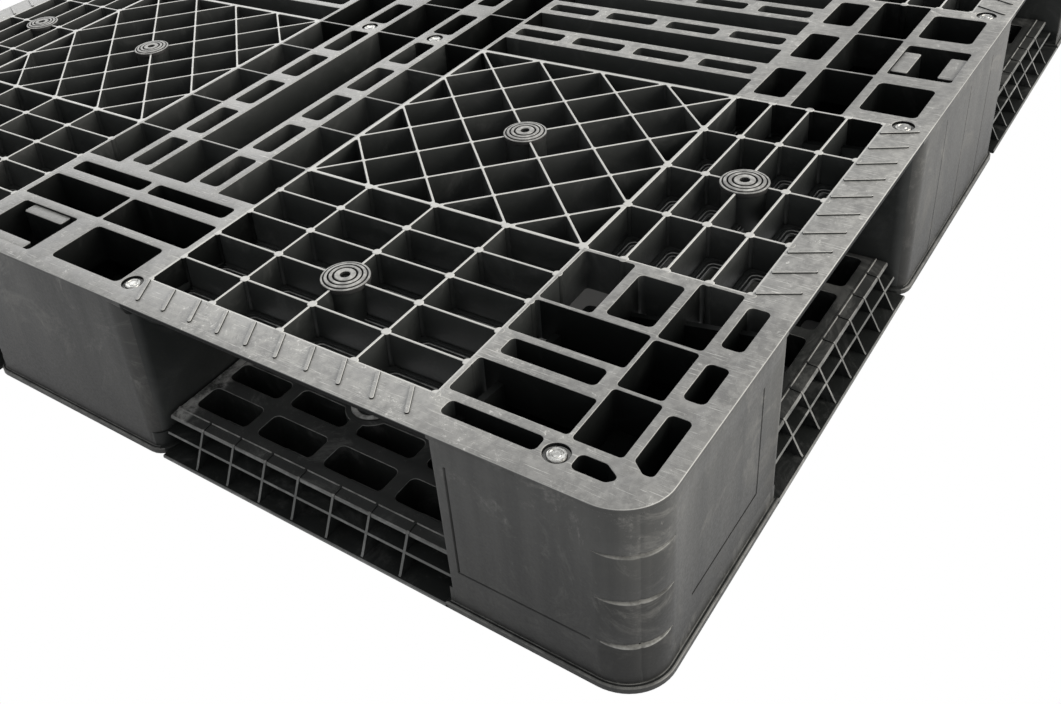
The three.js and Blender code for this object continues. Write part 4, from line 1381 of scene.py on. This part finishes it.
grommet_materials = [rubber_material, hollow_painted_shade_material]
deck_grommet = [(radius, TOP + height) for radius, height in GROMMET_PROFILE]
for quadrant_name, quadrant in QUADRANTS.items():
    for field, spot in grommet_spots.items():
        name = f"top_grommet_{field}_{quadrant_name}"
        shells = turned(placed([spot], quadrant)[0], deck_grommet, sides=56)
        piece = make_object("moulded_" + name, shells, grommet_materials, grommet_choice)
        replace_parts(piece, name)
        if field in frame_grommet_spots:
            name = f"bottom_grommet_{field}_{quadrant_name}"
            place = placed([frame_grommet_spots[field]], quadrant)[0]
            shells = turned(place, FRAME_GROMMET_DISC, FRAME_GROMMET_RING, sides=48)
            piece = make_object("moulded_" + name, shells, [rubber_material])
            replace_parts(piece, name)
    for site, spot in bolt_spots.items():
        name = f"bolt_{site}_{quadrant_name}"
        shells = turned(placed([spot], quadrant)[0], BOLT_PROFILE, sides=40)
        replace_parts(make_object("turned_" + name, shells, [steel_material]), name)

# ---------------- stage, lights and camera

def plain_material(name, colour):
    """A dull material of one colour."""
    n = Nodes(name)
    n.shader.inputs["Base Color"].default_value = (*colour, 1)
    n.shader.inputs["Roughness"].default_value = 0.9
    return n.material


# The surroundings are plain white, so the floor is only a dark patch that the pallet covers: a painted shadow
# under the pallet, seen through its openings.
FLOOR_INSET = 5
FLOOR_SHADOW_GREY = (0.1, 0.1, 0.1)
FLOOR_LEVEL = -0.5
patch = offset(turned_round(deck_outline, False), FLOOR_INSET)
floor_mesh = bpy.data.meshes.new("floor")
floor_mesh.from_pydata([(x * MM, y * MM, FLOOR_LEVEL * MM) for x, y in patch], [], [tuple(range(len(patch)))])
floor_mesh.materials.append(plain_material("floor_painted_shadow", FLOOR_SHADOW_GREY))
floor = bpy.data.objects.new("floor", floor_mesh)
bpy.context.scene.collection.objects.link(floor)

world = bpy.data.worlds.new("studio")
bpy.context.scene.world = world
world.use_nodes = True
world.node_tree.nodes["Background"].inputs[0].default_value = (1, 1, 1, 1)
world.node_tree.nodes["Background"].inputs[1].default_value = 1.0
bpy.context.scene.view_settings.view_transform = "Standard"


def area_light(name, location, target, size, power, colour):
    data = bpy.data.lights.new(name, "AREA")
    data.size = size
    data.energy = power
    data.color = colour
    lamp = bpy.data.objects.new(name, data)
    lamp.location = location
    lamp.rotation_euler = (Vector(target) - Vector(location)).to_track_quat("-Z", "Y").to_euler()
    bpy.context.scene.collection.objects.link(lamp)


area_light("side_light", (0.6, -3.4, 1.2), (0, -0.4, 0.1), 2.4, 190, (1.0, 0.95, 0.87))
area_light("back_light", (2.2, 3.0, 1.9), (0, 0, 0.15), 2.5, 60, (1, 1, 1))

camera_data = bpy.data.cameras.new("camera")
camera_data.sensor_width = 36
camera_data.lens = 39.321
camera_data.shift_x = 0.1360
camera_data.shift_y = -0.1524
camera_data.clip_start = 0.02
camera = bpy.data.objects.new("camera", camera_data)
camera.location = (-1.00222, -0.73660, 0.61850)
camera.rotation_euler = [math.radians(a) for a in (60.0994, 6.9622, -52.2276)]
bpy.context.scene.collection.objects.link(camera)
bpy.context.scene.camera = camera
